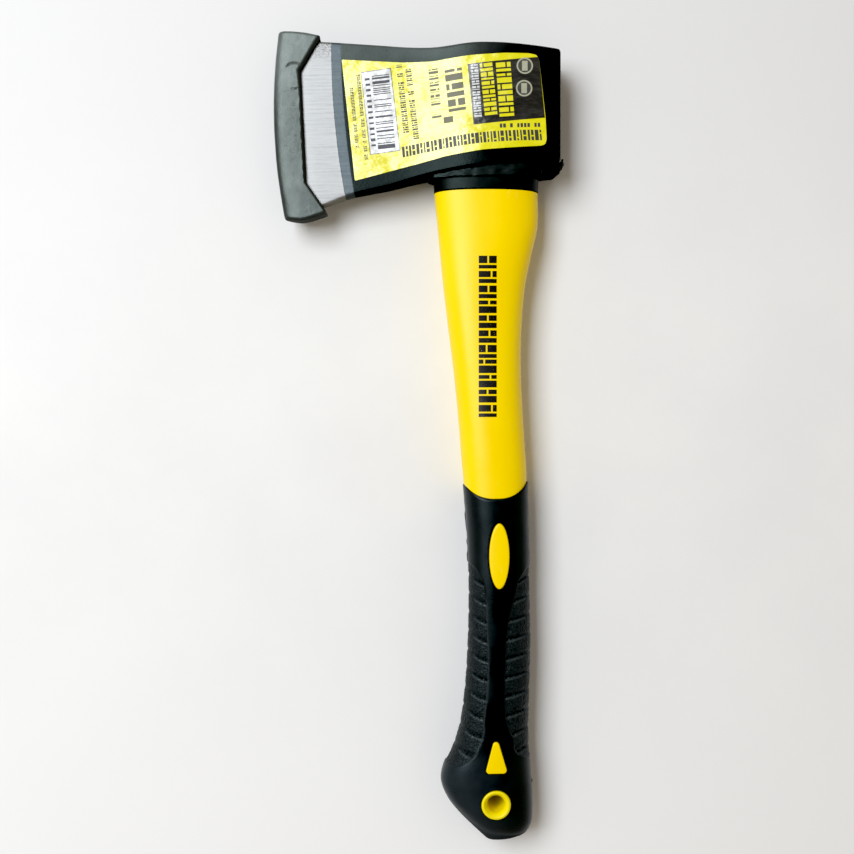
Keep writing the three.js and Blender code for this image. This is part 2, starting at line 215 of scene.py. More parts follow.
def through(knots, at):
    """Smooth curve through (y, x) knots: x at each y."""
    y, x = np.array(knots, float).T
    slope = np.gradient(x, y)
    k = np.clip(np.searchsorted(y, at) - 1, 0, len(y) - 2)
    width = y[k + 1] - y[k]
    u = np.clip((at - y[k]) / width, 0, 1)
    return (
        (2 * u**3 - 3 * u**2 + 1) * x[k] + (u**3 - 2 * u**2 + u) * width * slope[k]
        + (3 * u**2 - 2 * u**3) * x[k + 1] + (u**3 - u**2) * width * slope[k + 1]
    )


CELL_STRIDES = np.array([73856093, 19349663, 83492791])
SEED_STRIDE = 40503
HASH_ROUNDS = ((13, 1274126177), (15, 668265263))


def lattice(cells, seed):
    """A repeatable value from -1 to 1 for each whole-number cell."""
    mixed = (cells * CELL_STRIDES).sum(axis=1) + seed * SEED_STRIDE
    for shift, factor in HASH_ROUNDS:
        mixed = (mixed ^ (mixed >> shift)) * factor & 0xFFFFFFFF
    return ((mixed >> 8) & 0xFFFF) / 32767.5 - 1


def value_noise(points, cell, seed):
    """Smooth noise from about -1 to 1 whose features are about one cell across."""
    p = np.asarray(points, float) / cell
    base = np.floor(p).astype(np.int64)
    part = p - base
    part = part * part * (3 - 2 * part)
    total = np.zeros(len(p))
    for corner in np.ndindex(2, 2, 2):
        weight = np.prod(np.where(np.array(corner) == 1, part, 1 - part), axis=1)
        total += weight * lattice(base + np.array(corner), seed)
    return total


def pebbles(points, cell, seed):
    """Distance to the nearest pebble's middle, in cells."""
    p = np.asarray(points, float) / cell
    base = np.floor(p).astype(np.int64)
    nearest = np.full(len(p), 9.0)
    for shift in np.ndindex(3, 3, 3):
        cells = base + np.array(shift) - 1
        jitter = np.stack([lattice(cells, seed + k) for k in range(3)], axis=1)
        nearest = np.minimum(nearest, np.linalg.norm(cells + 0.5 + 0.42 * jitter - p, axis=1))
    return nearest


def outline_distance(points, outline):
    """Signed distance in plan from points to a closed outline: negative inside."""
    p = np.asarray(points, float)[:, :2]
    corners = np.asarray(outline, float)
    nearest = np.full(len(p), 1e9)
    inside = np.zeros(len(p), bool)
    for a, b in zip(corners, np.roll(corners, -1, axis=0)):
        side = b - a
        along = np.clip(((p - a) @ side) / max(side @ side, 1e-12), 0, 1)
        nearest = np.minimum(nearest, np.linalg.norm(p - a - along[:, None] * side, axis=1))
        crosses = (a[1] > p[:, 1]) != (b[1] > p[:, 1])
        with np.errstate(divide="ignore", invalid="ignore"):
            cut = a[0] + (p[:, 1] - a[1]) * side[0] / side[1]
        inside ^= crosses & (p[:, 0] < cut)
    return np.where(inside, -nearest, nearest)


def round_in(distance, radius):
    """How far a surface stands in at a distance from an end that is rounded with this radius."""
    if radius == 0:
        return np.zeros(len(distance))
    left = np.clip(radius - distance, 0, radius)
    return radius - np.sqrt(radius**2 - left**2)


# Meshes ------------------------------------------------------

def build(name, points, faces):
    """An object from points in drawing millimetres, with its faces turned outwards."""
    mesh = bpy.data.meshes.new(name)
    mesh.from_pydata(world(points).tolist(), [], [list(map(int, face)) for face in faces])
    work = bmesh.new()
    work.from_mesh(mesh)
    bmesh.ops.recalc_face_normals(work, faces=work.faces)
    work.to_mesh(mesh)
    work.free()
    made = bpy.data.objects.new(name, mesh)
    bpy.context.scene.collection.objects.link(made)
    return made


def band_faces(rows, columns, wrap=False):
    """Faces between the rows of a grid of closed rings; wrap joins the last row to the first too."""
    r, c = np.meshgrid(np.arange(rows if wrap else rows - 1), np.arange(columns), indexing="ij")
    r, c = r.ravel(), c.ravel()
    low, high = r * columns, (r + 1) % rows * columns
    after = (c + 1) % columns
    return np.stack([low + c, low + after, high + after, high + c], axis=1).tolist()


def loft_faces(rows, columns):
    """Faces of a loft of closed rings. Its ends are closed in strips: point i faces point columns - i."""
    faces = band_faces(rows, columns)
    for start in (0, (rows - 1) * columns):
        for i in range(columns // 2):
            opposite = start + (columns - i) % columns
            strip = [start + i, start + i + 1, start + columns - i - 1, opposite]
            faces.append(list(dict.fromkeys(strip)))
    return faces


def loft(name, grid):
    rows, columns = grid.shape[:2]
    return build(name, grid.reshape(-1, 3), loft_faces(rows, columns))


def prism(name, outline, low, high, axis=2):
    """An outline extruded along one axis; its points hold the other two coordinates."""
    outline = np.asarray(outline, float)
    count = len(outline)
    points = np.vstack([np.insert(outline, axis, end, axis=1) for end in (low, high)])
    return build(name, points, [range(count), range(count, 2 * count), *band_faces(2, count)])


CUTTER_REACH = 40


def slab(name, outline):
    """An outline extruded past both faces of the axe."""
    return prism(name, outline, -CUTTER_REACH, CUTTER_REACH)


def apply(target):
    """Turns a piece's modifiers into its mesh."""
    depsgraph = bpy.context.evaluated_depsgraph_get()
    mesh = bpy.data.meshes.new_from_object(target.evaluated_get(depsgraph))
    target.modifiers.clear()
    target.data = mesh


def combine(target, operation, *tools):
    for tool in tools:
        modifier = target.modifiers.new(operation, "BOOLEAN")
        modifier.operation = operation
        modifier.solver = "MANIFOLD"
        modifier.object = tool
    apply(target)
    for tool in tools:
        bpy.data.objects.remove(tool)


def remesh(target, voxel, smoothing):
    """Rebuilds a piece in one skin of small faces, which rounds its edges as moulding does."""
    modifier = target.modifiers.new("remesh", "REMESH")
    modifier.mode = "VOXEL"
    modifier.voxel_size = voxel * MM
    soften = target.modifiers.new("soften", "SMOOTH")
    soften.factor = 0.5
    soften.iterations = smoothing
    apply(target)


def drawing_points(target):
    flat = np.empty(len(target.data.vertices) * 3)
    target.data.vertices.foreach_get("co", flat)
    return flat.reshape(-1, 3) / MM - ORIGIN


def displace(target, amount):
    """Moves a piece's points along their normals by amount(points, normals), in millimetres."""
    points = drawing_points(target)
    normals = np.empty(len(points) * 3)
    target.data.vertices.foreach_get("normal", normals)
    normals = normals.reshape(-1, 3)
    moved = points + normals * amount(points, normals)[:, None]
    target.data.vertices.foreach_set("co", world(moved).ravel())
    target.data.update()


def mark(target, name, values):
    """Keeps a number at each of a piece's points for its material."""
    made = target.data.attributes.new(name, "FLOAT", "POINT")
    made.data.foreach_set("value", values.astype(np.float32))


def smooth(target, degrees=32):
    target.data.shade_smooth()
    target.data.set_sharp_from_angle(angle=math.radians(degrees))


# Oval sections of the handle ---------------------------------

USUAL_SECTION = {"half_width": 14, "half_height": 12}


def oval_turns(columns):
    """Turns that space points evenly round a usual section of the handle."""
    fine = np.linspace(0, 2 * np.pi, 8001)
    x = USUAL_SECTION["half_width"] * oval_shape(np.cos(fine), SECTION_POWER)
    y = USUAL_SECTION["half_height"] * oval_shape(np.sin(fine), SECTION_POWER)
    length = np.concatenate([[0], np.cumsum(np.hypot(np.diff(x), np.diff(y)))])
    quarter = np.interp(np.arange(columns // 4) * length[-1] / columns, length, fine)
    mirrored = np.append(quarter, np.pi / 2)[:0:-1]
    return np.concatenate([quarter, np.pi - mirrored, np.pi + quarter, 2 * np.pi - mirrored])


def oval_shape(value, power):
    return np.sign(value) * np.abs(value) ** (2 / power)


def oval_grid(left, right, half, columns, power=SECTION_POWER):
    """Rings of oval sections from each row's left point to its right point."""
    turns = oval_turns(columns)
    across = oval_shape(np.cos(turns), power)[None, :, None]
    up = oval_shape(np.sin(turns), power)
    middle = ((left + right) / 2)[:, None, :]
    reach = ((right - left) / 2)[:, None, :]
    plan = middle + reach * across
    return np.concatenate([plan, (half[:, None] * up)[..., None]], axis=2)


def handle_grid(stations, inset, step, columns, rounding=0.0):
    """Rings along a handle's stations, step apart and set in by inset, with a rounded first end."""
    left = np.array([[*s[0], s[2]] for s in stations])
    right = np.array([[*s[1], 0] for s in stations])
    dense = np.linspace(0, len(stations) - 1, 60 * len(stations))
    middle = (catmull(left, dense) + catmull(right, dense))[:, :2] / 2
    along = np.concatenate([[0], np.cumsum(np.linalg.norm(np.diff(middle, axis=0), axis=1))])
    places = np.linspace(0, along[-1], int(along[-1] / step) + 1)
    if rounding:
        arc = rounding * (1 - np.cos(np.linspace(0, np.pi / 2, 7)))
        places = np.unique(np.concatenate([arc, places[places > rounding]]))
    at = np.interp(places, along, dense)
    a, b = catmull(left, at), catmull(right, at)
    shrink = (inset + round_in(places, rounding))[:, None]
    across = b[:, :2] - a[:, :2]
    across *= shrink / np.linalg.norm(across, axis=1, keepdims=True)
    return oval_grid(a[:, :2] + across, b[:, :2] - across, a[:, 2] - shrink[:, 0], columns)


def grid_normals(grid):
    """Outward normals of a grid of closed rings."""
    along = np.gradient(grid, axis=0)
    around = np.roll(grid, -1, axis=1) - np.roll(grid, 1, axis=1)
    normals = np.cross(around, along)
    normals /= np.maximum(np.linalg.norm(normals, axis=2, keepdims=True), 1e-9)
    outward = grid - grid.mean(axis=1, keepdims=True)
    facing = np.sign((normals * outward).sum(axis=2, keepdims=True))
    return normals * np.where(facing == 0, 1, facing)


def tower(name, rows, grow, power, columns=64):
    """Loft of upright ovals centred on x = 0, from rows of (y, half length, half width)."""
    y, length, width = np.array(rows, float).T
    left = np.stack([-length - grow, y], axis=1)
    right = np.stack([length + grow, y], axis=1)
    return loft(name, oval_grid(left, right, width + grow, columns, power))


# Rounded wedge sections of the head and the guard ------------

def wedge_grid(top, bottom, half, bow, fillet, cheek_steps, corner_steps=6, inset=0.0):
    """Rings of rectangles with rounded corners, one row for each station."""
    count = len(half)
    along = top - bottom
    height = np.linalg.norm(along, axis=1)
    inset = np.broadcast_to(inset, (count,))
    bottom = bottom + along / height[:, None] * inset[:, None]
    top = top - along / height[:, None] * inset[:, None]
    height = height - 2 * inset
    half = np.maximum(half - inset, 0.05)
    corner = np.minimum(fillet, 0.8 * half)[:, None]
    turn = np.linspace(0, np.pi / 2, corner_steps + 1)[None, :]
    rise = corner * (1 - np.cos(turn))
    out = half[:, None] - corner * (1 - np.sin(turn))
    between = np.arange(1, cheek_steps)[None, :] / cheek_steps
    cheek = corner + (height[:, None] - 2 * corner) * between
    flat = np.repeat(half[:, None], cheek_steps - 1, axis=1)
    zero = np.zeros((count, 1))
    up = np.hstack([zero, rise, cheek, height[:, None] - rise[:, ::-1], height[:, None]])
    z = np.hstack([zero, out, flat, out[:, ::-1], zero])
    up = np.hstack([up, up[:, -2:0:-1]])
    z = np.hstack([z, -z[:, -2:0:-1]])
    v = up / height[:, None]
    plan = bottom[:, None, :] + (top - bottom)[:, None, :] * v[..., None]
    plan[..., 0] -= bow[:, None] * 4 * v * (1 - v)
    return np.concatenate([plan, z[..., None]], axis=2)


def head_sections(at):
    """Top, bottom, half thickness and bow at station numbers: straight over the facets, smooth behind."""
    table = np.array([[*s[0], *s[1], s[2], s[3]] for s in HEAD])
    straight = np.stack([np.interp(at, np.arange(len(table)), column) for column in table.T], axis=1)
    curved = catmull(table[FACET_STATION:], np.maximum(at - FACET_STATION, 0))
    mixed = np.where((at > FACET_STATION)[:, None], curved, straight)
    mixed[:, 4] = np.minimum(mixed[:, 4], THICK / 2)
    return mixed[:, 0:2], mixed[:, 2:4], mixed[:, 4], mixed[:, 5]


def between_stations(counts):
    """Station numbers, with counts[k] steps from station k to the next."""
    return np.concatenate([k + np.arange(n) / n for k, n in enumerate(counts)] + [[len(counts)]])


HEAD_STEPS = [4, 6, 8, 5, 14, 12, 12, 10, 8, 8, 8, 8, 12, 10]
HEAD_CHEEK_STEPS = 56
POLL_ROUNDING = 1.3


def head_grid():
    """The whole head without its eye, rounded off round its poll face."""
    at = between_stations(HEAD_STEPS)
    top_x = head_sections(at)[0][:, 0]
    turn = np.linspace(0, np.pi / 2, 7)[1:]
    plain = at[top_x < POLL_X - POLL_ROUNDING]
    rounded = np.interp(POLL_X - POLL_ROUNDING * (1 - np.sin(turn)), top_x, at)
    inset = np.concatenate([np.zeros(len(plain)), POLL_ROUNDING * (1 - np.cos(turn))])
    sections = head_sections(np.concatenate([plain, rounded]))
    return wedge_grid(*sections, HEAD_FILLET, HEAD_CHEEK_STEPS, inset=inset)


# Outlines ----------------------------------------------------

def u_curve(x):
    """y of the grip's upper edge, where it meets the yellow jacket."""
    away = np.abs(x - U_EDGE["middle"]) / U_EDGE["reach"]
    return np.minimum(U_EDGE["top"], U_EDGE["low"] + U_EDGE["rise"] * away ** U_EDGE["power"])


def u_outline(shift, closing_y):
    """The handle's side of the grip's upper edge, moved up by shift, as far as closing_y."""
    start, end = HANDLE_SPAN
    x = np.linspace(start, end, 97)
    edge = np.stack([x, u_curve(x) + shift], axis=1)
    return np.vstack([edge, [[end, closing_y], [start, closing_y]]])


def oval_outline(grow, count=72):
    turn = 2 * np.pi * (np.arange(count) + 0.5) / count
    reach = OVAL_PAD["half_width"] + grow, OVAL_PAD["half_length"] + grow
    x = OVAL_PAD["x"] + reach[0] * oval_shape(np.cos(turn), OVAL_PAD["power"])
    y = OVAL_PAD["y"] + reach[1] * oval_shape(np.sin(turn), OVAL_PAD["power"])
    return np.stack([x, y], axis=1)


def arrow_outline(grow, steps=9):
    """A triangle with round corners, its tip pointing to the head."""
    corners = np.array(ARROW_PAD["corners"])
    reach = ARROW_PAD["round"] + grow
    points = []
    for k, corner in enumerate(corners):
        before, after = corners[k - 1], corners[(k + 1) % 3]
        start = (corner - before)[::-1] * (-1, 1)
        end = (after - corner)[::-1] * (-1, 1)
        first = math.atan2(start[1], start[0])
        second = math.atan2(end[1], end[0])
        sweep = (second - first + math.pi) % (2 * math.pi) - math.pi
        out = -1 if sweep > 0 else 1
        for turn in first + sweep * np.linspace(0, 1, steps):
            points.append(corner + out * reach * np.array([math.cos(turn), math.sin(turn)]))
    return np.array(points)


def ring_outline(radius, count=72):
    turn = 2 * np.pi * (np.arange(count) + 0.5) / count
    return np.stack([RING_PAD["x"] + radius * np.cos(turn), RING_PAD["y"] + radius * np.sin(turn)], axis=1)


# Grip sleeve -------------------------------------------------

LEFT_PANEL = [
    (36.5, -17), (36.9, -14.5), (38.3, -10.5), (41, -7.3), (43.5, -5.2), (46.7, -3.8), (51.7, -1.8),
    (60, -1.3), (69, -0.1), (78, 0.5), (87, 0.7), (96, 0.4), (105, 0.1), (114, -0.1), (126, -3.1),
    (130, -6), (132, -9),
]
RIGHT_PANEL = [
    (40, 19), (43, 14.3), (51, 11.8), (55, 9.6), (60, 8.4), (69, 7.8), (78, 7.8), (87, 8.2), (96, 8.5),
    (105, 9.6), (114.3, 12), (125, 15.5), (130, 19),
]
PANEL_STEP = 0.42
PANEL_MARGIN = 1.4
PANEL_RIM = 0.85
GRIP_ROWS = {"step": 0.42, "columns": 188, "rounding": 0.9}
PEBBLE = {"size": 1.1, "depth": 0.30}
GROOVE = {"top": 125.0, "pitch": 8.85, "count": 10, "depth": 1.0, "slope": 2.3, "wall": 0.4, "ledge": 1.3}


def side_x(y, which):
    """x of the grip's outline at y, on its left (0) or right (1)."""
    dense = np.linspace(3, len(GRIP) - 1, 300)
    curve = catmull(np.array([s[which] for s in GRIP], float), dense)
    return np.interp(y, curve[:, 1], curve[:, 0])


def panel_field(points, knots, which):
    """Distance inside a side panel, which runs round the side to the other face, and the share of the way
    over the face from its outer edge (0) to its inner one (1)."""
    x, y = points[:, 0], points[:, 1]
    toward = 1 if which == 0 else -1
    inner = through(knots, np.clip(y, knots[0][0], knots[-1][0]))
    slope = (through(knots, y + 0.2) - through(knots, y - 0.2)) / 0.4
    outer = side_x(y, which) + toward * PANEL_MARGIN
    depth = toward * (inner - x) / np.sqrt(1 + slope**2)
    depth = np.minimum(depth, np.minimum(y - knots[0][0], knots[-1][0] - y))
    across = toward * (x - outer) / np.maximum(toward * (inner - outer), 0.5)
    return depth, across


def above_groove(points, across, which):
    """Distance up the grip from the nearest groove's line, which curves down towards the face's middle."""
    face = np.clip(across, 0, 1)
    drop = 3.4 * (1 - (1 - face) ** 1.8) if which == 0 else 2.5 * face**0.9
    line = points[:, 1] + drop - GROOVE["top"]
    k = np.clip(np.round(-(line - 0.4) / GROOVE["pitch"]), 0, GROOVE["count"] - 1)
    return line + k * GROOVE["pitch"]


def groove_depth(points, depth, across, which):
    around = 0.4 + 0.6 * smoothstep((across - 0.02) / 0.2)
    above = above_groove(points, across, which)
    climb = 0.66 * smoothstep(-above / GROOVE["wall"]) + 0.34 * smoothstep((-above - 0.2) / GROOVE["ledge"])
    cut = np.where(above > 0, 1 - above / GROOVE["slope"], 1 - climb)
    return GROOVE["depth"] * np.clip(cut, 0, 1) * smoothstep(depth / 0.8) * around


def windows():
    """Outlines of the grip's three openings, round the jacket's raised pads."""
    return [oval_outline(GAP), arrow_outline(GAP), ring_outline(RING_PAD["radius"] + GAP)]


def panels(points):
    """For each side panel: its number, the distance inside it, the share across it, and how fully inside."""
    for knots, which in ((LEFT_PANEL, 0), (RIGHT_PANEL, 1)):
        depth, across = panel_field(points, knots, which)
        yield which, depth, across, smoothstep(depth / PANEL_RIM)


def grip_relief(points):
    """How far the grip's surface stands out of (or, negative, into) its plain oval loft."""
    relief = np.zeros(len(points))
    for which, depth, across, inside in panels(points):
        texture = PEBBLE["depth"] * (0.45 - np.minimum(pebbles(points, PEBBLE["size"], 11 + which), 0.9))
        relief += inside * (texture - PANEL_STEP) - groove_depth(points, depth, across, which)
    for outline in windows():
        away = outline_distance(points, outline)
        relief -= 0.12 * np.clip(1 - away / 0.7, 0, 1) ** 2
    lip = u_curve(points[:, 0]) - points[:, 1]
    relief -= 0.45 * np.clip(1 - lip / 0.9, 0, 1) ** 2
    return relief + flash(points) + 0.05 * value_noise(points, 9, 5)


def panel_marks(points):
    """Numbers from 0 to 1 for the grip's material: in a pebbled panel, on a pebble's top, drawn lighter as
    painted light, and on a rim, which gets a painted highlight.
    """
    marks = {name: np.zeros(len(points)) for name in ("pebbled", "peaks", "rim_highlights")}
    for which, depth, across, inside in panels(points):
        tops = np.clip(1 - pebbles(points, PEBBLE["size"], 11 + which) / 0.75, 0, 1)
        below_line = -above_groove(points, across, which)
        # Painted highlight: along each groove's lit wall, and along the panel's inner step, strong on the
        # left panel and faint on the right, as the light comes from the left.
        rim = smoothstep(1.3 - np.abs(below_line - 0.7) / 0.45) * inside * smoothstep((across - 0.06) / 0.2)
        step = smoothstep(1.2 - np.abs(depth - 0.15) / 0.4) * (0.8 if which == 0 else 0.15)
        step *= smoothstep((points[:, 1] - 41) / 3) * smoothstep((118 - points[:, 1]) / 5)
        for name, value in (("pebbled", inside), ("peaks", inside * tops), ("rim_highlights", np.maximum(rim, step))):
            marks[name] = np.maximum(marks[name], value)
    return marks


def flash(points):
    """The mould's parting line: a thin ragged ridge along both sides, and one nub low on the right."""
    x, y, z = points.T
    ridge = np.clip(1 - np.abs(z) / 0.5, 0, 1)
    ragged = np.clip(value_noise(points * (1, 1, 0), 3.2, 3) + 0.15, 0, 1)
    left_side = (x < 0) * smoothstep((y - 118) / 20)
    nub = 0.55 * np.exp(-((y - 27.3) ** 2) / 0.8) * (x > 15)
    return ridge * (0.05 + 0.38 * ragged * left_side + nub)


def grip_sleeve():
    plain = handle_grid(GRIP, 0, **GRIP_ROWS)
    flat = plain.reshape(-1, 3)
    normals = grid_normals(plain).reshape(-1, 3)
    fade = smoothstep((flat[:, 1] - 1) / 6)
    shaped = flat + normals * (grip_relief(flat) * fade)[:, None]
    sleeve = build("grip_sleeve_fine", shaped, loft_faces(*plain.shape[:2]))
    cavity = loft("cavity", handle_grid(GRIP[1:], GRIP_WALL, 1.5, 96))
    combine(sleeve, "INTERSECT", slab("below", u_outline(0, -20)))
    combine(sleeve, "DIFFERENCE", cavity, *[slab("window", outline) for outline in windows()])
    for name, value in panel_marks(drawing_points(sleeve)).items():
        mark(sleeve, name, value)
    smooth(sleeve, 40)
    return sleeve


# Handle jacket -----------------------------------------------

def neck_block(name, grow, low, high, foot=None):
    """Oval block the size of the jacket's neck, grown by grow, or by foot at its lower end."""
    (left_x, _), (right_x, _), half = JACKET[-1]
    grown = np.array([grow if foot is None else foot, grow])
    ends = np.array([low, high])
    left = np.stack([left_x - grown, ends], axis=1)
    right = np.stack([right_x + grown, ends], axis=1)
    return loft(name, oval_grid(left, right, half + grown, 128))


def surface_height():
    """A function that gives the plain grip's upper height at plan points."""
    grid = handle_grid(GRIP, 0, 1.0, 120)
    tree = BVHTree.FromPolygons(grid.reshape(-1, 3).tolist(), loft_faces(*grid.shape[:2]))

    def height(x, y):
        hit = tree.ray_cast(Vector((x, y, 60)), Vector((0, 0, -1)))[0]
        return hit.z

    return height


def pad(name, outline, height):
    """A raised pad with a rounded rim, standing through both faces of the grip."""
    centre = outline.mean(axis=0)
    reach = np.linalg.norm(outline - centre, axis=1).min()
    insets = [0, 0.05, 0.16, 0.32, 0.55, *np.linspace(0.9, reach * 0.9, 5)]
    rings = []
    for inset in insets:
        plan = centre + (outline - centre) * (1 - inset / reach)
        drop = 0.5 - math.sqrt(0.25 - max(0.5 - inset, 0) ** 2)
        rings.append([[x, y, height(x, y) + PAD_PROUD - drop] for x, y in plan])
    count = len(outline)
    upper = np.vstack([*rings, [[*centre, height(*centre) + PAD_PROUD]]])
    under = len(upper)
    half = band_faces(len(insets), count)
    last = under - 1 - count
    half += [[last + i, last + (i + 1) % count, under - 1] for i in range(count)]
    faces = half + [[under + point for point in face] for face in half]
    faces += [[i, (i + 1) % count, under + (i + 1) % count, under + i] for i in range(count)]
    return build(name, np.vstack([upper, upper * (1, 1, -1)]), faces)


RING_PROFILE = [
    (6.85, -0.25), (6.78, 0.0), (6.6, 0.2), (6.3, 0.32), (5.95, 0.34), (5.7, 0.26), (5.5, 0.08), (5.2, -0.3),
    (4.7, -1.05), (4.35, -1.7), (4.12, -2.3), (4.0, -2.9),
]


def ring_pad(name, height):
    """The hanging hole's raised ring: a rounded rim, a dish, and the hole right through."""
    columns = 96
    turn = 2 * np.pi * np.arange(columns) / columns
    heart = height(RING_PAD["x"], RING_PAD["y"])
    half = []
    for radius, rise in RING_PROFILE:
        x = RING_PAD["x"] + radius * np.cos(turn)
        y = RING_PAD["y"] + radius * np.sin(turn)
        follow = smoothstep((radius - 4) / 2.5)
        z = [heart + (height(a, b) - heart) * follow + rise for a, b in zip(x, y)]
        half.append(np.stack([x, y, z], axis=1))
    profile = np.array(half + [row * (1, 1, -1) for row in half[::-1]])
    return build(name, profile.reshape(-1, 3), band_faces(len(profile), columns, wrap=True))


def core_bar(name, grow, extra):
    """The space of the fibreglass core, grown by grow, and longer by extra at its top."""
    bottom, top = np.array(CORE["bottom"]), np.array(CORE["top"])
    along = (top - bottom) / np.linalg.norm(top - bottom)
    across = np.array([-along[1], along[0]])
    bottom, top = bottom - along * grow, top + along * extra
    turn = 2 * np.pi * np.arange(48) / 48
    radius = CORE["radius"] + grow
    rows = []
    for end in (bottom, top):
        plan = end[None, :] + across[None, :] * (radius * np.cos(turn))[:, None]
        rows.append(np.c_[plan, radius * np.sin(turn)])
    return loft(name, np.array(rows))


def handle_jacket():
    jacket = loft("handle_jacket_fine", handle_grid(JACKET, 0, 0.8, 144))
    combine(jacket, "INTERSECT", slab("above", u_outline(GAP, 340)))
    height = surface_height()
    combine(
        jacket, "UNION",
        loft("hidden", handle_grid(GRIP[1:], GRIP_WALL + GAP, 1.5, 96)),
        neck_block("rebate", -REBATE_DEPTH, 303.5, REBATE_TOP),
        tower("tongue", TONGUE, 0, SECTION_POWER),
    )
    hole = slab("hole", ring_outline(RING_PAD["radius"] - 0.6))
    combine(jacket, "DIFFERENCE", hole)
    combine(jacket, "UNION", pad("oval", oval_outline(0), height), pad("arrow", arrow_outline(0), height),
            ring_pad("ring", height))
    combine(jacket, "DIFFERENCE", core_bar("bore", GAP, 10))
    smooth(jacket, 35)
    return jacket


# Neck collar -------------------------------------------------

def underside(drop):
    return [(s[1][0], s[1][1] - drop) for s in HEAD if s[1][0] > FLANGE_LEFT]


def neck_collar():
    collar = neck_block("neck_collar_fine", SKIRT_PROUD, COLLAR_FOOT, SKIRT_TOP, foot=0.1)
    side = [(FLANGE_LEFT, 311.7), *FLANGE_NOSE, *underside(FLANGE_GAP)[::-1][1:], (FLANGE_LEFT, 312.4)]
    flange = slab("flange", side)
    front = [(FLANGE_LEFT, 5.0)]
    front += [(s[1][0], s[2] - FLANGE_INSET) for s in HEAD if s[1][0] > FLANGE_LEFT]
    front += [(35.6, 10.6), (36.4, 8.6)]
    plan = front + [(x, -z) for x, z in front[::-1]]
    footprint = prism("footprint", plan, 300, 330, axis=1)
    combine(flange, "INTERSECT", footprint)
    combine(collar, "UNION", flange)
    remesh(collar, 0.36, 3)

    def lumps(points, normals):
        flange_part = smoothstep((points[:, 1] - 311.2) / 1.2)
        long_lumps = points * (0.3, 1, 1)
        rough = 0.28 * value_noise(long_lumps, 2.2, 21) + 0.16 * value_noise(long_lumps, 1.0, 22)
        below_head = 1 - smoothstep((normals[:, 1] - 0.3) / 0.4)
        return flange_part * (rough - 0.12) * below_head + 0.03 * value_noise(points, 4, 23)

    displace(collar, lumps)
    combine(collar, "DIFFERENCE", neck_block("socket", GAP - REBATE_DEPTH, COLLAR_FOOT - 5, REBATE_TOP + GAP),
            tower("slot", TONGUE, GAP, SECTION_POWER))
    smooth(collar, 50)
    return collar


# Head, guard, label and epoxy --------------------------------

def axe_head():
    head = loft("axe_head_fine", head_grid())
    combine(head, "DIFFERENCE", tower("eye", EYE, 0, 2, 96))
    smooth(head, 24)
    return head


def eye_epoxy():
    """Cured epoxy round the tongue, with a meniscus that climbs the wall of the eye."""
    rows = (EPOXY["low"], EPOXY["top"] - 0.9, EPOXY["top"] - 0.45)
    table = np.array(EYE, float)
    grid = []
    columns = 96
    turns = oval_turns(columns)
    for y in rows:
        length = np.interp(y, table[:, 0], table[:, 1]) - GAP
        width = np.interp(y, table[:, 0], table[:, 2]) - GAP
        grid.append([[length * math.cos(t), y, width * math.sin(t)] for t in turns])
    rim = np.array(grid[-1])
    for share, drop in ((0.97, 0.12), (0.93, 0.35), (0.86, 0.5), (0.7, 0.58), (0.4, 0.6), (0.12, 0.6)):
        inner = rim * (share, 1, share)
        inner[:, 1] = rim[:, 1] - drop
        grid.append(inner)
    epoxy = loft("eye_epoxy_fine", np.array(grid, float))
    socket = [TONGUE[0], (TONGUE[1][0] + GAP, *TONGUE[1][1:])]
    combine(epoxy, "DIFFERENCE", tower("socket", socket, GAP, SECTION_POWER))
    displace(epoxy, lambda points, normals: np.where(
        (normals[:, 1] > 0.6) & (points[:, 1] > 368), 0.12 * value_noise(points, 5, 31), 0))
    smooth(epoxy, 40)
    return epoxy


LIP_DROP = 1.35


def lip_drop(points):
    """The lip of the guard slopes down to the blade, over a wider strip at the upper ear."""
    x, y = points[:, 0], points[:, 1]
    line = np.array(GUARD_LIP)
    away = np.abs(outline_distance(points, np.vstack([line, line[-2:0:-1]])))
    width = np.interp(y, [297, 311, 316, 355, 364, 378], [0.8, 0.8, 1.0, 1.0, 1.7, 1.7])
    return LIP_DROP * np.clip(1 - away / width, 0, 1) * (x > -90)


THUMB_PAD = {"x": -90.2, "y": 360.5, "half_width": 3.4, "half_length": 6.2}
THUMB_MARKS = [
    {"from": (-94.9, 364.6), "middle": (-91.6, 366.8), "to": (-87.2, 366.0), "depth": 0.42, "width": 0.6},
    {"from": (-92.8, 355.4), "middle": (-90.2, 354.6), "to": (-87.8, 355.2), "depth": 0.22, "width": 0.55},
]


def guard_relief(points, normals):
    """Thumb pad with a crescent above and below, and faint ripples, on both faces."""
    x, y = points[:, 0], points[:, 1]
    on_face = smoothstep((np.abs(normals[:, 2]) - 0.5) / 0.3)
    away = ((np.abs(x - THUMB_PAD["x"]) / THUMB_PAD["half_width"]) ** 3
            + (np.abs(y - THUMB_PAD["y"]) / THUMB_PAD["half_length"]) ** 3) ** (1 / 3)
    raised = 0.14 * smoothstep((1.08 - away) / 0.3)
    cut = np.zeros(len(points))
    for crescent in THUMB_MARKS:
        a, b, c = (np.array(crescent[k]) for k in ("from", "middle", "to"))
        t = np.linspace(0, 1, 13)[:, None]
        arc = a * (1 - t) ** 2 + 2 * (2 * b - (a + c) / 2) * t * (1 - t) + c * t**2
        line = np.vstack([arc, arc[-2:0:-1]])
        reach = np.abs(outline_distance(points, line))
        ends = np.minimum(smoothstep((x - a[0]) / 1.5), smoothstep((c[0] + 1.2 - x) / 1.0))
        cut = np.maximum(cut, crescent["depth"] * smoothstep(1 - reach / crescent["width"]) * ends)
    ripples = 0.06 * value_noise(points, 7, 41) + 0.03 * value_noise(points, 2.2, 42)
    return on_face * (raised - cut) + ripples


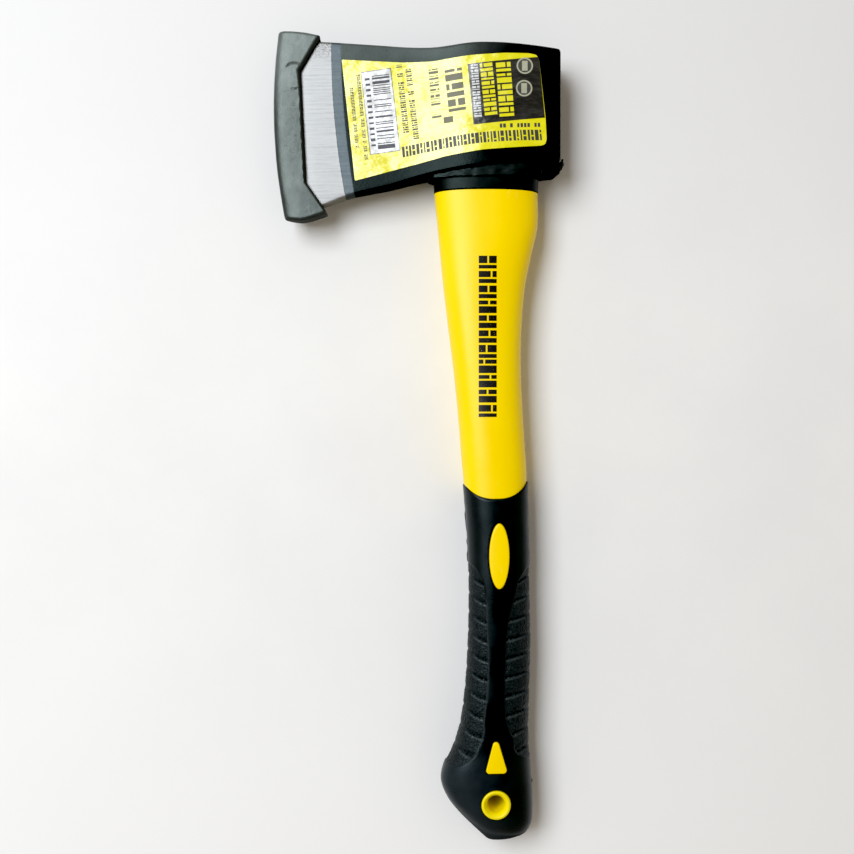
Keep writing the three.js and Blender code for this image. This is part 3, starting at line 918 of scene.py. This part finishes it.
def edge_guard():
    stations = np.array([[*s[0], *s[1], s[2], s[3]] for s in GUARD])
    table = catmull(stations, between_stations([3, 3, 3, 4, 14, 16]))
    guard = loft("edge_guard_fine", wedge_grid(
        table[:, 0:2], table[:, 2:4], table[:, 4], table[:, 5], GUARD_FILLET, 60))
    plan = [(-110, 385), (-78.5, 385), *GUARD_LIP, (-75.7, 290), (-110, 290)]
    combine(guard, "INTERSECT", slab("plan", plan))
    remesh(guard, 0.34, 3)
    displace(guard, guard_relief)
    points = drawing_points(guard)
    drop = lip_drop(points)
    points[:, 2] *= 1 - drop / GUARD[-1][2]
    guard.data.vertices.foreach_set("co", world(points).ravel())
    guard.data.update()
    # The lip's strip is kept for the material, which draws it black as painted shade.
    mark(guard, "lip", smoothstep(drop / (0.35 * LIP_DROP)))
    at = np.arange(0, FACET_STATION + 0.01, 0.25)
    top, bottom, half, bow = head_sections(at)
    top[:, 1], bottom[:, 1] = POCKET_TOP, POCKET_BOTTOM
    top[0, 0] -= 0.6
    bottom[0, 0] -= 0.6
    pocket = loft("pocket", wedge_grid(top, bottom, half + POCKET_CLEARANCE, bow, 0.2, 40, corner_steps=2))
    combine(guard, "DIFFERENCE", pocket)
    smooth(guard, 40)
    return guard


def round_outline(outline, radius, steps=5):
    """An outline whose sharp corners are rounded."""
    outline = np.asarray(outline, float)
    points = []
    for k, corner in enumerate(outline):
        before, after = outline[k - 1] - corner, outline[(k + 1) % len(outline)] - corner
        reach = min(radius, np.linalg.norm(before) * 0.45, np.linalg.norm(after) * 0.45)
        a = corner + before / np.linalg.norm(before) * reach
        b = corner + after / np.linalg.norm(after) * reach
        for t in np.linspace(0, 1, steps):
            points.append(a * (1 - t) ** 2 + 2 * corner * t * (1 - t) + b * t**2)
    return np.array(points)


def cheek_label():
    label = prism("cheek_label_fine", round_outline(LABEL, 0.7), 0.5, 20)
    combine(label, "INTERSECT", loft("outer", head_grid() + (0, 0, LABEL_GAP + LABEL_THICK)))
    combine(label, "DIFFERENCE", loft("inner", head_grid() + (0, 0, LABEL_GAP)))
    smooth(label, 24)
    return label


# Materials ---------------------------------------------------

PRINT_SOFTNESS = 0.08
NO_GAPS = -1.0


class Graph:
    """A material with one Principled shader. Values may be numbers, colours or other nodes' outputs."""

    def __init__(self, name, roughness, specular, metallic=0.0):
        self.material = bpy.data.materials.new(name)
        self.material.use_nodes = True
        self.tree = self.material.node_tree
        self.shader = self.tree.nodes["Principled BSDF"]
        self.put(self.shader.inputs["Roughness"], roughness)
        self.put(self.shader.inputs["Specular IOR Level"], specular)
        self.put(self.shader.inputs["Metallic"], metallic)
        place = self.tree.nodes.new("ShaderNodeTexCoord").outputs["Object"]
        to_mm = self.tree.nodes.new("ShaderNodeVectorMath")
        to_mm.operation = "MULTIPLY_ADD"
        self.put(to_mm.inputs[0], place)
        to_mm.inputs[1].default_value = (1 / MM,) * 3
        to_mm.inputs[2].default_value = tuple(-ORIGIN)
        self.place = to_mm.outputs[0]
        split = self.tree.nodes.new("ShaderNodeSeparateXYZ")
        self.put(split.inputs[0], self.place)
        self.x, self.y, self.z = split.outputs

    def put(self, socket, value):
        if isinstance(value, bpy.types.NodeSocket):
            self.tree.links.new(value, socket)
        elif isinstance(value, tuple) and len(value) == 3 and socket.type == "RGBA":
            socket.default_value = (*value, 1)
        else:
            socket.default_value = value

    def set(self, name, value):
        self.put(self.shader.inputs[name], value)

    def math(self, operation, *values, clamp=False):
        node = self.tree.nodes.new("ShaderNodeMath")
        node.operation = operation
        node.use_clamp = clamp
        for socket, value in zip(node.inputs, values):
            self.put(socket, value)
        return node.outputs[0]

    def add(self, a, b):
        return self.math("ADD", a, b)

    def subtract(self, a, b):
        return self.math("SUBTRACT", a, b)

    def times(self, a, b):
        return self.math("MULTIPLY", a, b)

    def stretch(self, x, y, z):
        """Coordinates in millimetres multiplied by x, y and z."""
        node = self.tree.nodes.new("ShaderNodeVectorMath")
        node.operation = "MULTIPLY"
        self.put(node.inputs[0], self.place)
        node.inputs[1].default_value = (x, y, z)
        return node.outputs[0]

    def noise(self, size, detail=3.0, roughness=0.55, place=None, distortion=0.0):
        node = self.tree.nodes.new("ShaderNodeTexNoise")
        self.put(node.inputs["Vector"], place or self.place)
        node.inputs["Scale"].default_value = 1 / size
        node.inputs["Detail"].default_value = detail
        node.inputs["Roughness"].default_value = roughness
        node.inputs["Distortion"].default_value = distortion
        return node.outputs["Fac"]

    def cells(self, size, feature="F1", place=None):
        node = self.tree.nodes.new("ShaderNodeTexVoronoi")
        node.feature = feature
        self.put(node.inputs["Vector"], place or self.place)
        node.inputs["Scale"].default_value = 1 / size
        return node.outputs["Distance"]

    def ramp(self, value, low, high, to_low=0.0, to_high=1.0):
        """Smooth change from to_low where value is low to to_high where it is high."""
        node = self.tree.nodes.new("ShaderNodeMapRange")
        node.interpolation_type = "SMOOTHSTEP"
        for socket, item in zip(node.inputs, (value, low, high, to_low, to_high)):
            self.put(socket, item)
        return node.outputs[0]

    def mix(self, amount, a, b):
        node = self.tree.nodes.new("ShaderNodeMix")
        node.data_type = "RGBA"
        self.put(node.inputs[0], amount)
        self.put(node.inputs[6], a)
        self.put(node.inputs[7], b)
        return node.outputs[2]

    def blend(self, amount, a, b):
        """Number between a and b."""
        node = self.tree.nodes.new("ShaderNodeMix")
        self.put(node.inputs[0], amount)
        self.put(node.inputs[2], a)
        self.put(node.inputs[3], b)
        return node.outputs[0]

    def attribute(self, name):
        """A number kept at the mesh's points."""
        node = self.tree.nodes.new("ShaderNodeAttribute")
        node.attribute_name = name
        return node.outputs["Fac"]

    def facing(self):
        """The three parts of the surface's own direction."""
        node = self.tree.nodes.new("ShaderNodeSeparateXYZ")
        self.put(node.inputs[0], self.tree.nodes.new("ShaderNodeNewGeometry").outputs["Normal"])
        return node.outputs

    def underside(self):
        """Where the surface faces the butt's end of the axe."""
        return self.ramp(self.facing()[1], -0.5, -0.8)

    def edges(self, low, high):
        """Where the mesh is sharply convex."""
        node = self.tree.nodes.new("ShaderNodeNewGeometry")
        return self.ramp(node.outputs["Pointiness"], low, high)

    def chance(self, value):
        """A random number from 0 to 1, always the same one for the same value."""
        node = self.tree.nodes.new("ShaderNodeTexWhiteNoise")
        node.noise_dimensions = "1D"
        self.put(node.inputs["W"], value)
        return node.outputs["Value"]

    def hump(self, share, height):
        """A parabola that stands height tall halfway along a share from 0 to 1."""
        return self.times(self.times(share, self.subtract(1.0, share)), 4 * height)

    def bump(self, height, depth, before=None):
        """Bump of depth millimetres; before is an earlier bump's normal."""
        node = self.tree.nodes.new("ShaderNodeBump")
        node.inputs["Distance"].default_value = depth * MM
        self.put(node.inputs["Height"], height)
        if before is not None:
            self.put(node.inputs["Normal"], before)
        return node.outputs["Normal"]

    # Printing: masks drawn in plan

    def along(self, start, end):
        """Distances along and to the left of a line in plan."""
        run = np.array(end, float) - np.array(start, float)
        length = float(np.linalg.norm(run))
        run = run / length
        dx, dy = self.subtract(self.x, start[0]), self.subtract(self.y, start[1])
        forward = self.add(self.times(dx, float(run[0])), self.times(dy, float(run[1])))
        aside = self.subtract(self.times(dy, float(run[0])), self.times(dx, float(run[1])))
        return forward, aside, length

    def between(self, value, low, high):
        rise = self.ramp(value, low - PRINT_SOFTNESS, low + PRINT_SOFTNESS)
        fall = self.ramp(value, high - PRINT_SOFTNESS, high + PRINT_SOFTNESS, 1.0, 0.0)
        return self.times(rise, fall)

    def bar(self, start, end, height):
        """A solid bar along a line."""
        forward, aside, length = self.along(start, end)
        return self.times(self.between(forward, 0, length), self.between(aside, -height / 2, height / 2))

    def disc(self, x, y, radius):
        """A solid disc."""
        dx, dy = self.subtract(self.x, x), self.subtract(self.y, y)
        away = self.math("SQRT", self.add(self.times(dx, dx), self.times(dy, dy)))
        return self.ramp(away, radius - 0.1, radius + 0.1, 1.0, 0.0)

    def blocks(self, start, end, height, pitch, seed, filled=0.84, gaps=0.16, bend=0.0, vary=0.25, slit=0.0):
        """A row of plain solid blocks in place of words. The widest fills this share of the pitch, and they
        vary by up to vary; gaps is the share left out as spaces. A slit wider than 0 cuts each block across
        at a random place, and lengthwise up to there."""
        forward, aside, length = self.along(start, end)
        if bend:
            aside = self.subtract(aside, self.hump(self.times(forward, 1 / length), bend))
        cell = self.times(forward, 1 / pitch)
        part = self.math("FRACT", cell)
        whole = self.math("FLOOR", cell)
        chance = self.chance(self.add(whole, float(seed)))
        kept = self.math("GREATER_THAN", chance, gaps)
        soft = PRINT_SOFTNESS / pitch
        width = self.subtract(filled, self.times(chance, vary))
        off_middle = self.times(self.math("ABSOLUTE", self.subtract(part, 0.5)), 2.0)
        shape = self.ramp(off_middle, self.subtract(width, soft), self.add(width, soft), 1.0, 0.0)
        inside = self.times(self.between(aside, -height / 2, height / 2), self.between(forward, 0, length))
        shape = self.times(self.times(shape, kept), inside)
        if not slit:
            return shape
        cut_at = self.add(self.times(self.chance(self.add(whole, seed + 0.5)), 0.3), 0.35)
        past_cut = self.subtract(part, cut_at)
        from_cut = self.times(self.math("ABSOLUTE", past_cut), pitch)
        slot_at = self.times(self.subtract(chance, 0.5), height * 0.5)
        from_slot = self.math("ABSOLUTE", self.subtract(aside, slot_at))
        from_slot = self.add(from_slot, self.times(self.math("GREATER_THAN", past_cut, 0.0), height))
        away = self.math("MINIMUM", from_cut, from_slot)
        return self.times(shape, self.ramp(away, slit * 0.35, slit * 0.65))

    def any_of(self, *masks):
        total = masks[0]
        for mask in masks[1:]:
            total = self.math("MAXIMUM", total, mask)
        return total


GLOSS_TINT = (0.74, 1.0, 0.94, 1.0)
BLUE_TINT = (0.74, 0.94, 1.0, 1.0)
GUARD_TINT = (0.88, 1.0, 0.92, 1.0)


def head_material():
    """Bare ground steel at the bit, then black paint, with a thinner, smoother band of it over the facet."""
    g = Graph("forged head", 0.4, 0.12)
    lines = []
    for station in (PAINT_STATION, FACET_STATION):
        (top_x, top_y), (bottom_x, bottom_y), _, bow = HEAD[station]
        share = g.times(g.subtract(g.y, bottom_y), 1 / (top_y - bottom_y))
        straight = g.add(g.times(share, top_x - bottom_x), bottom_x)
        lines.append(g.subtract(g.x, g.subtract(straight, g.hump(share, bow))))
    ragged = g.times(g.subtract(g.noise(1.6, 4), 0.5), 0.5)
    painted = g.ramp(g.add(lines[0], ragged), -0.12, 0.12)
    facet = g.times(painted, g.ramp(lines[1], 0.25, -0.25))
    grind = g.noise(1.0, 6, 0.72, g.stretch(0.05, 1.0, 0.05))
    scratches = g.noise(1.0, 3, 0.6, g.stretch(0.12, 9.0, 0.12))
    mottle = g.noise(9, 4)
    speckled = g.times(g.ramp(g.y, 366.5, 375.0), g.ramp(g.noise(0.6, 3), 0.47, 0.60))
    steel = g.mix(g.ramp(grind, 0.3, 0.7), (0.203, 0.205, 0.202), (0.365, 0.368, 0.364))
    steel = g.mix(g.times(speckled, 0.75), steel, (0.06, 0.056, 0.052))
    # Painted reflection: where the steel faces up or down the axe it is tinted warm brown, standing in for
    # the floor it reflects.
    painted_edge_reflection = g.ramp(g.math("ABSOLUTE", g.facing()[1]), 0.55, 0.8)
    steel = g.mix(g.times(painted_edge_reflection, 0.75), steel, (0.16, 0.12, 0.09))
    paint = g.mix(g.ramp(mottle, 0.35, 0.7), (0.0016, 0.0018, 0.0020), (0.0040, 0.0042, 0.0045))
    # Painted sheen: the paint along the top of the head, more towards the bit, is drawn lighter as if
    # catching the light.
    painted_sheen = g.times(g.ramp(g.y, 358.0, 371.0), g.ramp(g.x, 14.0, -26.0))
    paint = g.mix(g.times(painted_sheen, g.ramp(mottle, 0.2, 0.8, 0.7, 1.0)), paint, (0.092, 0.108, 0.103))
    thin = g.mix(g.ramp(grind, 0.35, 0.7), (0.050, 0.060, 0.066), (0.070, 0.082, 0.090))
    paint = g.mix(facet, paint, thin)
    worn = g.times(g.times(g.edges(0.52, 0.60), g.ramp(g.noise(3.5, 4), 0.5, 0.62)), painted)
    paint = g.mix(g.times(worn, 0.7), paint, (0.16, 0.16, 0.16))
    g.set("Base Color", g.mix(painted, steel, paint))
    g.set("Specular Tint", GLOSS_TINT)
    g.set("Metallic", g.blend(painted, 1.0, g.times(facet, 0.5)))
    steel_rough = g.ramp(grind, 0.3, 0.75, 0.46, 0.58)
    paint_rough = g.blend(facet, g.ramp(mottle, 0.3, 0.7, 0.24, 0.32), 0.34)
    paint_rough = g.blend(g.underside(), paint_rough, 1.0)
    g.set("Roughness", g.blend(painted, steel_rough, paint_rough))
    peel = g.times(g.noise(1.1, 3), painted)
    ground = g.times(g.add(grind, g.times(scratches, 0.6)), g.blend(painted, 1.0, g.times(facet, 0.5)))
    pits = g.times(g.ramp(g.cells(2.6), 0.0, 0.22, 1.0, 0.0), g.ramp(g.noise(12, 3), 0.5, 0.7))
    normal = g.bump(g.subtract(peel, g.times(pits, 0.8)), 0.07)
    normal = g.bump(ground, 0.035, normal)
    g.set("Normal", g.bump(painted, 0.05, normal))
    return g.material


def rubber(name, dark, light, roughness, specular, grain=0.35, dust=0.25, tint=GLOSS_TINT, finish=None):
    """Moulded black rubber with fine grain, a mottled bloom and a little dust, dull where it faces the butt.
    finish may change its colour, roughness and normal."""
    g = Graph(name, roughness, specular)
    bloom = g.noise(11, 5, 0.6)
    fine = g.noise(grain, 3, 0.6)
    colour = g.mix(g.ramp(bloom, 0.35, 0.7), dark, light)
    specks = g.times(g.ramp(g.noise(0.6, 2), 0.68, 0.76), dust * 1.5)
    smears = g.times(g.ramp(g.noise(6, 5, 0.7), 0.55, 0.75), dust)
    colour = g.mix(g.math("MAXIMUM", specks, smears), colour, (0.05, 0.05, 0.048))
    mixed = g.add(g.times(bloom, 0.7), g.times(fine, 0.3))
    rough = g.ramp(mixed, 0.3, 0.7, roughness - 0.05, roughness + 0.1)
    normal = g.bump(bloom, 0.10)
    if finish:
        colour, rough, normal = finish(g, bloom, colour, rough, normal)
    g.set("Base Color", colour)
    g.set("Roughness", g.blend(g.underside(), rough, 1.0))
    g.set("Specular Tint", tint)
    g.set("Normal", g.bump(fine, 0.03, normal))
    return g.material


def grip_finish(g, bloom, colour, rough, normal):
    """Pebbled panels with painted light and shade on the pebbles, a smoother rim along each groove and step
    with a painted highlight, and a painted sheen on the left of the butt and of the grip's top.
    """
    panel = g.attribute("pebbled")
    rim_highlights = g.attribute("rim_highlights")
    skin = g.ramp(g.cells(0.8, "SMOOTH_F1"), 0.1, 0.6, 1.0, 0.0)
    normal = g.bump(g.times(skin, panel), 0.20, normal)
    rough = g.add(rough, g.subtract(g.times(panel, 0.16), g.times(rim_highlights, 0.14)))
    # Painted sheen: the left of the butt and the left of the grip's top are drawn lighter, as if catching the
    # light.
    butt = g.times(g.ramp(g.y, 46.0, 33.0), g.ramp(g.x, 17.0, -12.0))
    upper = g.times(g.ramp(g.y, 118.0, 132.0), g.ramp(g.x, -2.0, -11.0, 0.0, 0.6))
    painted_sheen = g.times(g.math("MAXIMUM", butt, upper), g.ramp(bloom, 0.25, 0.75, 0.75, 1.0))
    colour = g.mix(painted_sheen, colour, (0.0150, 0.0200, 0.0245))
    # Painted light and shade: pebble tops are drawn lighter and the hollows between them darker.
    pebble_light_and_shade = g.mix(g.attribute("peaks"), (0.0012, 0.0018, 0.0020), (0.0170, 0.0220, 0.0240))
    colour = g.mix(g.times(panel, 0.8), colour, pebble_light_and_shade)
    # Painted highlight: the groove rim and the left panel's inner step are drawn lighter.
    colour = g.mix(g.times(rim_highlights, 0.8), colour, (0.036, 0.043, 0.044))
    return colour, rough, normal


def guard_material():
    """Grey-black rubber with scuffs and creases, the creases drawn a little darker as painted shade, and a
    painted sheen that lightens it towards the top. Its lip and underside are drawn black as painted shade,
    and made dull."""
    g = Graph("guard rubber", 0.38, 0.70)
    bloom = g.noise(14, 5, 0.6)
    scuffs = g.ramp(g.noise(1.0, 4, 0.7, g.stretch(0.5, 0.06, 0.2)), 0.56, 0.70)
    creases = g.ramp(g.noise(1.0, 3, 0.6, g.stretch(0.12, 0.45, 0.2), 1.5), 0.655, 0.70)
    colour = g.mix(g.ramp(bloom, 0.35, 0.7), (0.006, 0.0100, 0.0105), (0.013, 0.0185, 0.0190))
    colour = g.mix(g.times(scuffs, 0.25), colour, (0.07, 0.08, 0.08))
    # Painted shade: the creases are drawn a little darker.
    colour = g.mix(g.times(creases, 0.2), colour, (0.008, 0.009, 0.009))
    # Painted sheen: the guard is drawn lighter towards its top, as the light falls there.
    painted_sheen = g.times(g.ramp(g.y, 330.0, 374.0), g.ramp(bloom, 0.25, 0.75, 0.6, 1.0))
    colour = g.mix(painted_sheen, colour, (0.10, 0.118, 0.115))
    # Painted shade: the lip's sloping strip and the faces towards the butt are drawn black.
    lip = g.math("MAXIMUM", g.attribute("lip"), g.underside())
    g.set("Base Color", g.mix(lip, colour, (0.0015, 0.0018, 0.0018)))
    g.set("Roughness", g.add(g.ramp(bloom, 0.3, 0.7, 0.33, 0.43), g.times(lip, 0.5)))
    g.set("Specular Tint", GUARD_TINT)
    normal = g.bump(g.noise(0.4, 3), 0.03)
    normal = g.bump(g.times(creases, -1.0), 0.02, normal)
    g.set("Normal", g.bump(g.noise(5, 4), 0.16, normal))
    return g.material


HANDLE_PRINT = {"start": (0.2, 275.2), "end": (0.2, 199.2), "height": 8.4, "count": 11}


def jacket_material():
    """Glossy yellow plastic with plain printed blocks on the front, faint flow marks, scuffs and dust."""
    g = Graph("jacket plastic", 0.36, 0.32)
    flow = g.noise(16, 4, 0.5, g.stretch(1.0, 0.35, 1.0))
    colour = g.mix(g.ramp(flow, 0.3, 0.75), (0.97, 0.690, 0.0008), (0.99, 0.73, 0.0015))
    scuffs = g.ramp(g.noise(1.0, 5, 0.75, g.stretch(0.35, 0.10, 0.35)), 0.60, 0.72)
    grime = g.times(g.ramp(g.noise(2.2, 5, 0.7), 0.60, 0.74), g.ramp(g.noise(25, 2), 0.45, 0.65))
    colour = g.mix(g.times(scuffs, 0.10), colour, (0.95, 0.86, 0.30))
    colour = g.mix(g.times(grime, 0.18), colour, (0.50, 0.36, 0.02))
    colour = g.mix(g.ramp(g.y, 33.0, 28.0), colour, (0.93, 0.78, 0.010))
    p = HANDLE_PRINT
    pitch = (p["start"][1] - p["end"][1]) / p["count"]
    ink = g.blocks(p["start"], p["end"], p["height"], pitch, 5, 0.93, NO_GAPS, vary=0.12, slit=0.75)
    front = g.math("GREATER_THAN", g.z, 2.0)
    worn = g.ramp(g.noise(0.5, 3, 0.7), 0.26, 0.34)
    ink = g.times(ink, g.times(front, worn))
    colour = g.mix(ink, colour, (0.006, 0.006, 0.005))
    g.set("Base Color", colour)
    g.set("Roughness", g.add(g.ramp(flow, 0.3, 0.7, 0.32, 0.40), g.times(g.add(scuffs, grime), 0.10)))
    normal = g.bump(g.noise(7, 3), 0.10)
    normal = g.bump(g.noise(0.45, 3), 0.008, normal)
    g.set("Normal", g.bump(ink, 0.02, normal))
    return g.material


LABEL_INKS = {
    "lemon": (0.80, 0.75, 0.012),
    "white": (0.66, 0.68, 0.68),
    "black": (0.012, 0.012, 0.010),
    "grey": (0.11, 0.11, 0.05),
    "dim": (0.42, 0.43, 0.32),
}


def label_material():
    """Glossy yellow vinyl sticker. Its print is plain blocks, bars, rings and panels that stand for words."""
    g = Graph("label vinyl", 0.24, 1.0)
    fade = g.noise(30, 3)
    colour = g.mix(g.ramp(fade, 0.35, 0.7), (0.78, 0.73, 0.006), (0.84, 0.79, 0.012))
    soil = g.times(g.ramp(g.noise(3, 5, 0.7), 0.55, 0.75), 0.10)
    colour = g.mix(soil, colour, (0.40, 0.34, 0.03))
    colour = g.mix(g.bar((7.3, 364.8), (10.1, 336.7), 33.2), colour, LABEL_INKS["black"])
    words = {
        "lemon": [
            g.blocks((7.1, 364.2), (9.0, 338.2), 6.8, 5.2, 2, 0.90, NO_GAPS, vary=0.10, slit=0.7),
            g.blocks((-0.8, 363.6), (1.7, 338.9), 5.8, 4.1, 4, 0.90, NO_GAPS, vary=0.10, slit=0.6),
        ],
        "white": [g.blocks((-6.2, 363.2), (-4.3, 338.2), 3.4, 2.5, 26, 0.86, 0.08, vary=0.2, slit=0.4)],
        "black": [
            g.blocks((24.6, 335.0), (5.2, 334.4), 1.9, 1.6, 31),
            g.blocks((-37.1, 365.2), (-32.9, 329.7), 2.7, 2.1, 33, slit=0.4),
            g.blocks((-41.2, 365.4), (-37.7, 333.1), 2.7, 2.1, 37, slit=0.4),
            g.blocks((-60.4, 361.0), (-56.5, 321.1), 1.7, 1.3, 41, 0.95, 0.10, vary=0.2, slit=0.3),
            g.blocks((-63.6, 354.9), (-60.7, 326.4), 1.7, 1.3, 44, 0.95, 0.10, vary=0.2, slit=0.3),
            g.blocks((25.2, 330.3), (-39.6, 324.0), 4.9, 3.45, 71, 0.92, 0.12, -1.5, vary=0.2, slit=0.55),
        ],
        "grey": [
            g.blocks((-16.0, 362.3), (-13.8, 341.1), 8.0, 7.1, 3, 0.88, NO_GAPS, vary=0.15, slit=1.0),
            g.blocks((-18.2, 339.8), (-17.9, 336.2), 4.4, 3.6, 3, 0.88, NO_GAPS, vary=0.1),
            g.blocks((-25.2, 362.6), (-23.3, 338.5), 4.4, 3.0, 12, 0.80, 0.1, slit=0.5),
        ],
    }
    masks = {ink: g.any_of(*rows) for ink, rows in words.items()}
    for ink, mask in masks.items():
        colour = g.mix(mask, colour, LABEL_INKS[ink])
    for x, y in ((17.2, 362.2), (16.9, 351.8)):
        colour = g.mix(g.disc(x, y, 3.8), colour, LABEL_INKS["dim"])
        colour = g.mix(g.disc(x, y, 3.1), colour, (0.06, 0.06, 0.05))
        colour = g.mix(g.bar((x, y + 2.3), (x, y - 2.3), 2.6), colour, LABEL_INKS["dim"])

    colour = g.mix(g.bar((-52.1, 362.9), (-47.6, 324.0), 14.4), colour, LABEL_INKS["black"])
    colour = g.mix(g.bar((-52.1, 362.6), (-47.6, 324.3), 13.8), colour, LABEL_INKS["white"])
    forward, aside, length = g.along((-49.9, 360.6), (-46.9, 326.0))
    stripes = g.chance(g.math("FLOOR", g.times(forward, 2.2)))
    field = g.times(g.between(forward, 0, length), g.between(aside, -4.1, 4.1))
    bars = g.times(g.math("GREATER_THAN", stripes, 0.55), field)
    digits = g.blocks((-56.2, 360.0), (-53.0, 326.6), 2.2, 2.6, 7, 0.55, NO_GAPS)
    colour = g.mix(g.any_of(bars, digits), colour, (0.03, 0.03, 0.05))

    printed = g.any_of(masks["black"], masks["grey"], bars, digits)
    g.set("Base Color", colour)
    g.set("Roughness", g.add(g.ramp(g.noise(8, 3), 0.3, 0.7, 0.22, 0.32), g.times(printed, 0.4)))
    g.set("Coat Weight", 0.15)
    g.set("Coat Roughness", 0.20)
    wrinkles = g.noise(1.0, 3, 0.5, g.stretch(0.07, 0.12, 0.07))
    normal = g.bump(wrinkles, 1.4)
    g.set("Normal", g.bump(g.noise(2.5, 2), 0.02, normal))
    return g.material


def epoxy_material():
    g = Graph("cured epoxy", 0.22, 0.5)
    cloud = g.noise(7, 4)
    colour = g.mix(g.ramp(cloud, 0.35, 0.7), (0.035, 0.034, 0.028), (0.075, 0.070, 0.052))
    bubbles = g.ramp(g.cells(1.7), 0.06, 0.16, 1.0, 0.0)
    g.set("Base Color", g.mix(g.times(bubbles, 0.5), colour, (0.02, 0.019, 0.015)))
    g.set("Roughness", g.ramp(cloud, 0.3, 0.7, 0.16, 0.34))
    g.set("Normal", g.bump(g.subtract(g.noise(3, 3), g.times(bubbles, 0.5)), 0.12))
    return g.material


def fibreglass_material():
    g = Graph("pultruded fibreglass", 0.42, 0.4)
    strands = g.noise(1.0, 5, 0.7, g.stretch(2.6, 0.05, 2.6))
    bands = g.noise(18, 2)
    colour = g.mix(g.ramp(strands, 0.3, 0.7), (0.50, 0.47, 0.30), (0.74, 0.72, 0.56))
    g.set("Base Color", g.mix(g.times(bands, 0.3), colour, (0.55, 0.50, 0.28)))
    g.set("Roughness", g.ramp(strands, 0.3, 0.7, 0.34, 0.52))
    g.set("Normal", g.bump(strands, 0.05))
    return g.material


# Light, camera and floor -------------------------------------

CAMERA = {"x": -28.0, "y": 195.2, "height": 499.0, "lens": 43.04, "sensor": 36.0}


def camera():
    data = bpy.data.cameras.new("camera")
    data.sensor_width = CAMERA["sensor"]
    data.lens = CAMERA["lens"]
    data.clip_start = 0.01
    made = bpy.data.objects.new("camera", data)
    x, y, _ = world([CAMERA["x"], CAMERA["y"], 0])
    made.location = (x, y, CAMERA["height"] * MM)
    bpy.context.scene.collection.objects.link(made)
    bpy.context.scene.camera = made


WINDOW = {
    "place": (-0.93, 0.66, 1.6), "width": 1.10, "length": 1.45, "watts": 43.5, "colour": (0.90, 0.945, 1.0),
}
ROOM = {"colour": (1.0, 0.89, 0.74), "around": 0.45, "overhead": 0.03, "dark_from": 0.80, "dark_to": 0.95}
BLACK_POINT = 0.010
FLOOR = {"reach": 2.0, "drop": 0.0001}


def lights():
    """A big soft window up and to the left of the axe, and a weak fill from all round but straight above."""
    data = bpy.data.lights.new("window", "AREA")
    data.shape = "RECTANGLE"
    data.size = WINDOW["width"]
    data.size_y = WINDOW["length"]
    data.energy = WINDOW["watts"]
    data.color = WINDOW["colour"]
    lamp = bpy.data.objects.new("window", data)
    lamp.location = WINDOW["place"]
    bpy.context.scene.collection.objects.link(lamp)
    room = bpy.data.worlds.new("room")
    room.use_nodes = True
    tree = room.node_tree
    split = tree.nodes.new("ShaderNodeSeparateXYZ")
    height = tree.nodes.new("ShaderNodeMapRange")
    tree.links.new(tree.nodes.new("ShaderNodeTexCoord").outputs["Generated"], split.inputs[0])
    tree.links.new(split.outputs["Z"], height.inputs["Value"])
    limits = {"From Min": "dark_from", "From Max": "dark_to", "To Min": "around", "To Max": "overhead"}
    for name, value in limits.items():
        height.inputs[name].default_value = ROOM[value]
    background = tree.nodes["Background"]
    background.inputs["Color"].default_value = (*ROOM["colour"], 1)
    tree.links.new(height.outputs["Result"], background.inputs["Strength"])
    bpy.context.scene.world = room


def look():
    """Plain colours, with the darkest ones crushed to black as in the photo."""
    view = bpy.context.scene.view_settings
    view.view_transform = "Standard"
    view.use_curve_mapping = True
    view.curve_mapping.black_level = (BLACK_POINT,) * 3
    view.curve_mapping.update()


def floor():
    """A plain pale floor, with painted shade making it a little darker towards the head's end and painted
    light making it lighter towards the butt's.
    """
    mesh = bpy.data.meshes.new("floor")
    size, low = FLOOR["reach"], -FLOOR["drop"]
    corners = [(-size, -size, low), (size, -size, low), (size, size, low), (-size, size, low)]
    mesh.from_pydata(corners, [], [(0, 1, 2, 3)])
    made = bpy.data.objects.new("floor", mesh)
    bpy.context.scene.collection.objects.link(made)
    g = Graph("pale floor", 0.6, 0.25)
    colour = g.mix(g.ramp(g.noise(60, 4), 0.3, 0.7), (0.83, 0.83, 0.83), (0.86, 0.86, 0.855))
    # Painted shade towards the head's end and painted light towards the butt's.
    colour = g.mix(g.ramp(g.y, 200.0, 420.0), colour, (0.77, 0.77, 0.77))
    g.set("Base Color", g.mix(g.ramp(g.y, 200.0, -60.0), colour, (0.90, 0.90, 0.90)))
    g.set("Normal", g.bump(g.noise(0.8, 3), 0.02))
    mesh.materials.append(g.material)


# Assembly ----------------------------------------------------

def fit(piece, body, node, material):
    piece.data.materials.clear()
    piece.data.materials.append(material)
    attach(piece, body)
    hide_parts(node)


def repaint(node, material):
    """Gives a carried-over CAD node its finish."""
    for place in frame["nodes"][node].material_slots:
        place.material = material


camera()
lights()
look()
floor()

collar_rubber = rubber(
    "collar rubber", (0.0010, 0.0011, 0.0012), (0.0028, 0.0030, 0.0031), 0.36, 0.19, grain=0.5, dust=0.04)
grip_rubber = rubber(
    "grip rubber", (0.0006, 0.0010, 0.0011), (0.0018, 0.0026, 0.0028), 0.30, 0.28, dust=0.02,
    tint=BLUE_TINT, finish=grip_finish)
seal_rubber = rubber("seal rubber", (0.005, 0.005, 0.005), (0.011, 0.011, 0.011), 0.6, 0.3)

fit(axe_head(), "axe", "axe_head", head_material())
fit(neck_collar(), "axe", "neck_collar", collar_rubber)
fit(handle_jacket(), "axe", "handle_jacket", jacket_material())
fit(grip_sleeve(), "axe", "grip_sleeve", grip_rubber)
fit(eye_epoxy(), "axe", "eye_epoxy", epoxy_material())
fit(cheek_label(), "axe", "cheek_label", label_material())
fit(edge_guard(), "guard", "edge_guard", guard_material())
repaint("eye_seal", seal_rubber)
repaint("fibreglass_core", fibreglass_material())
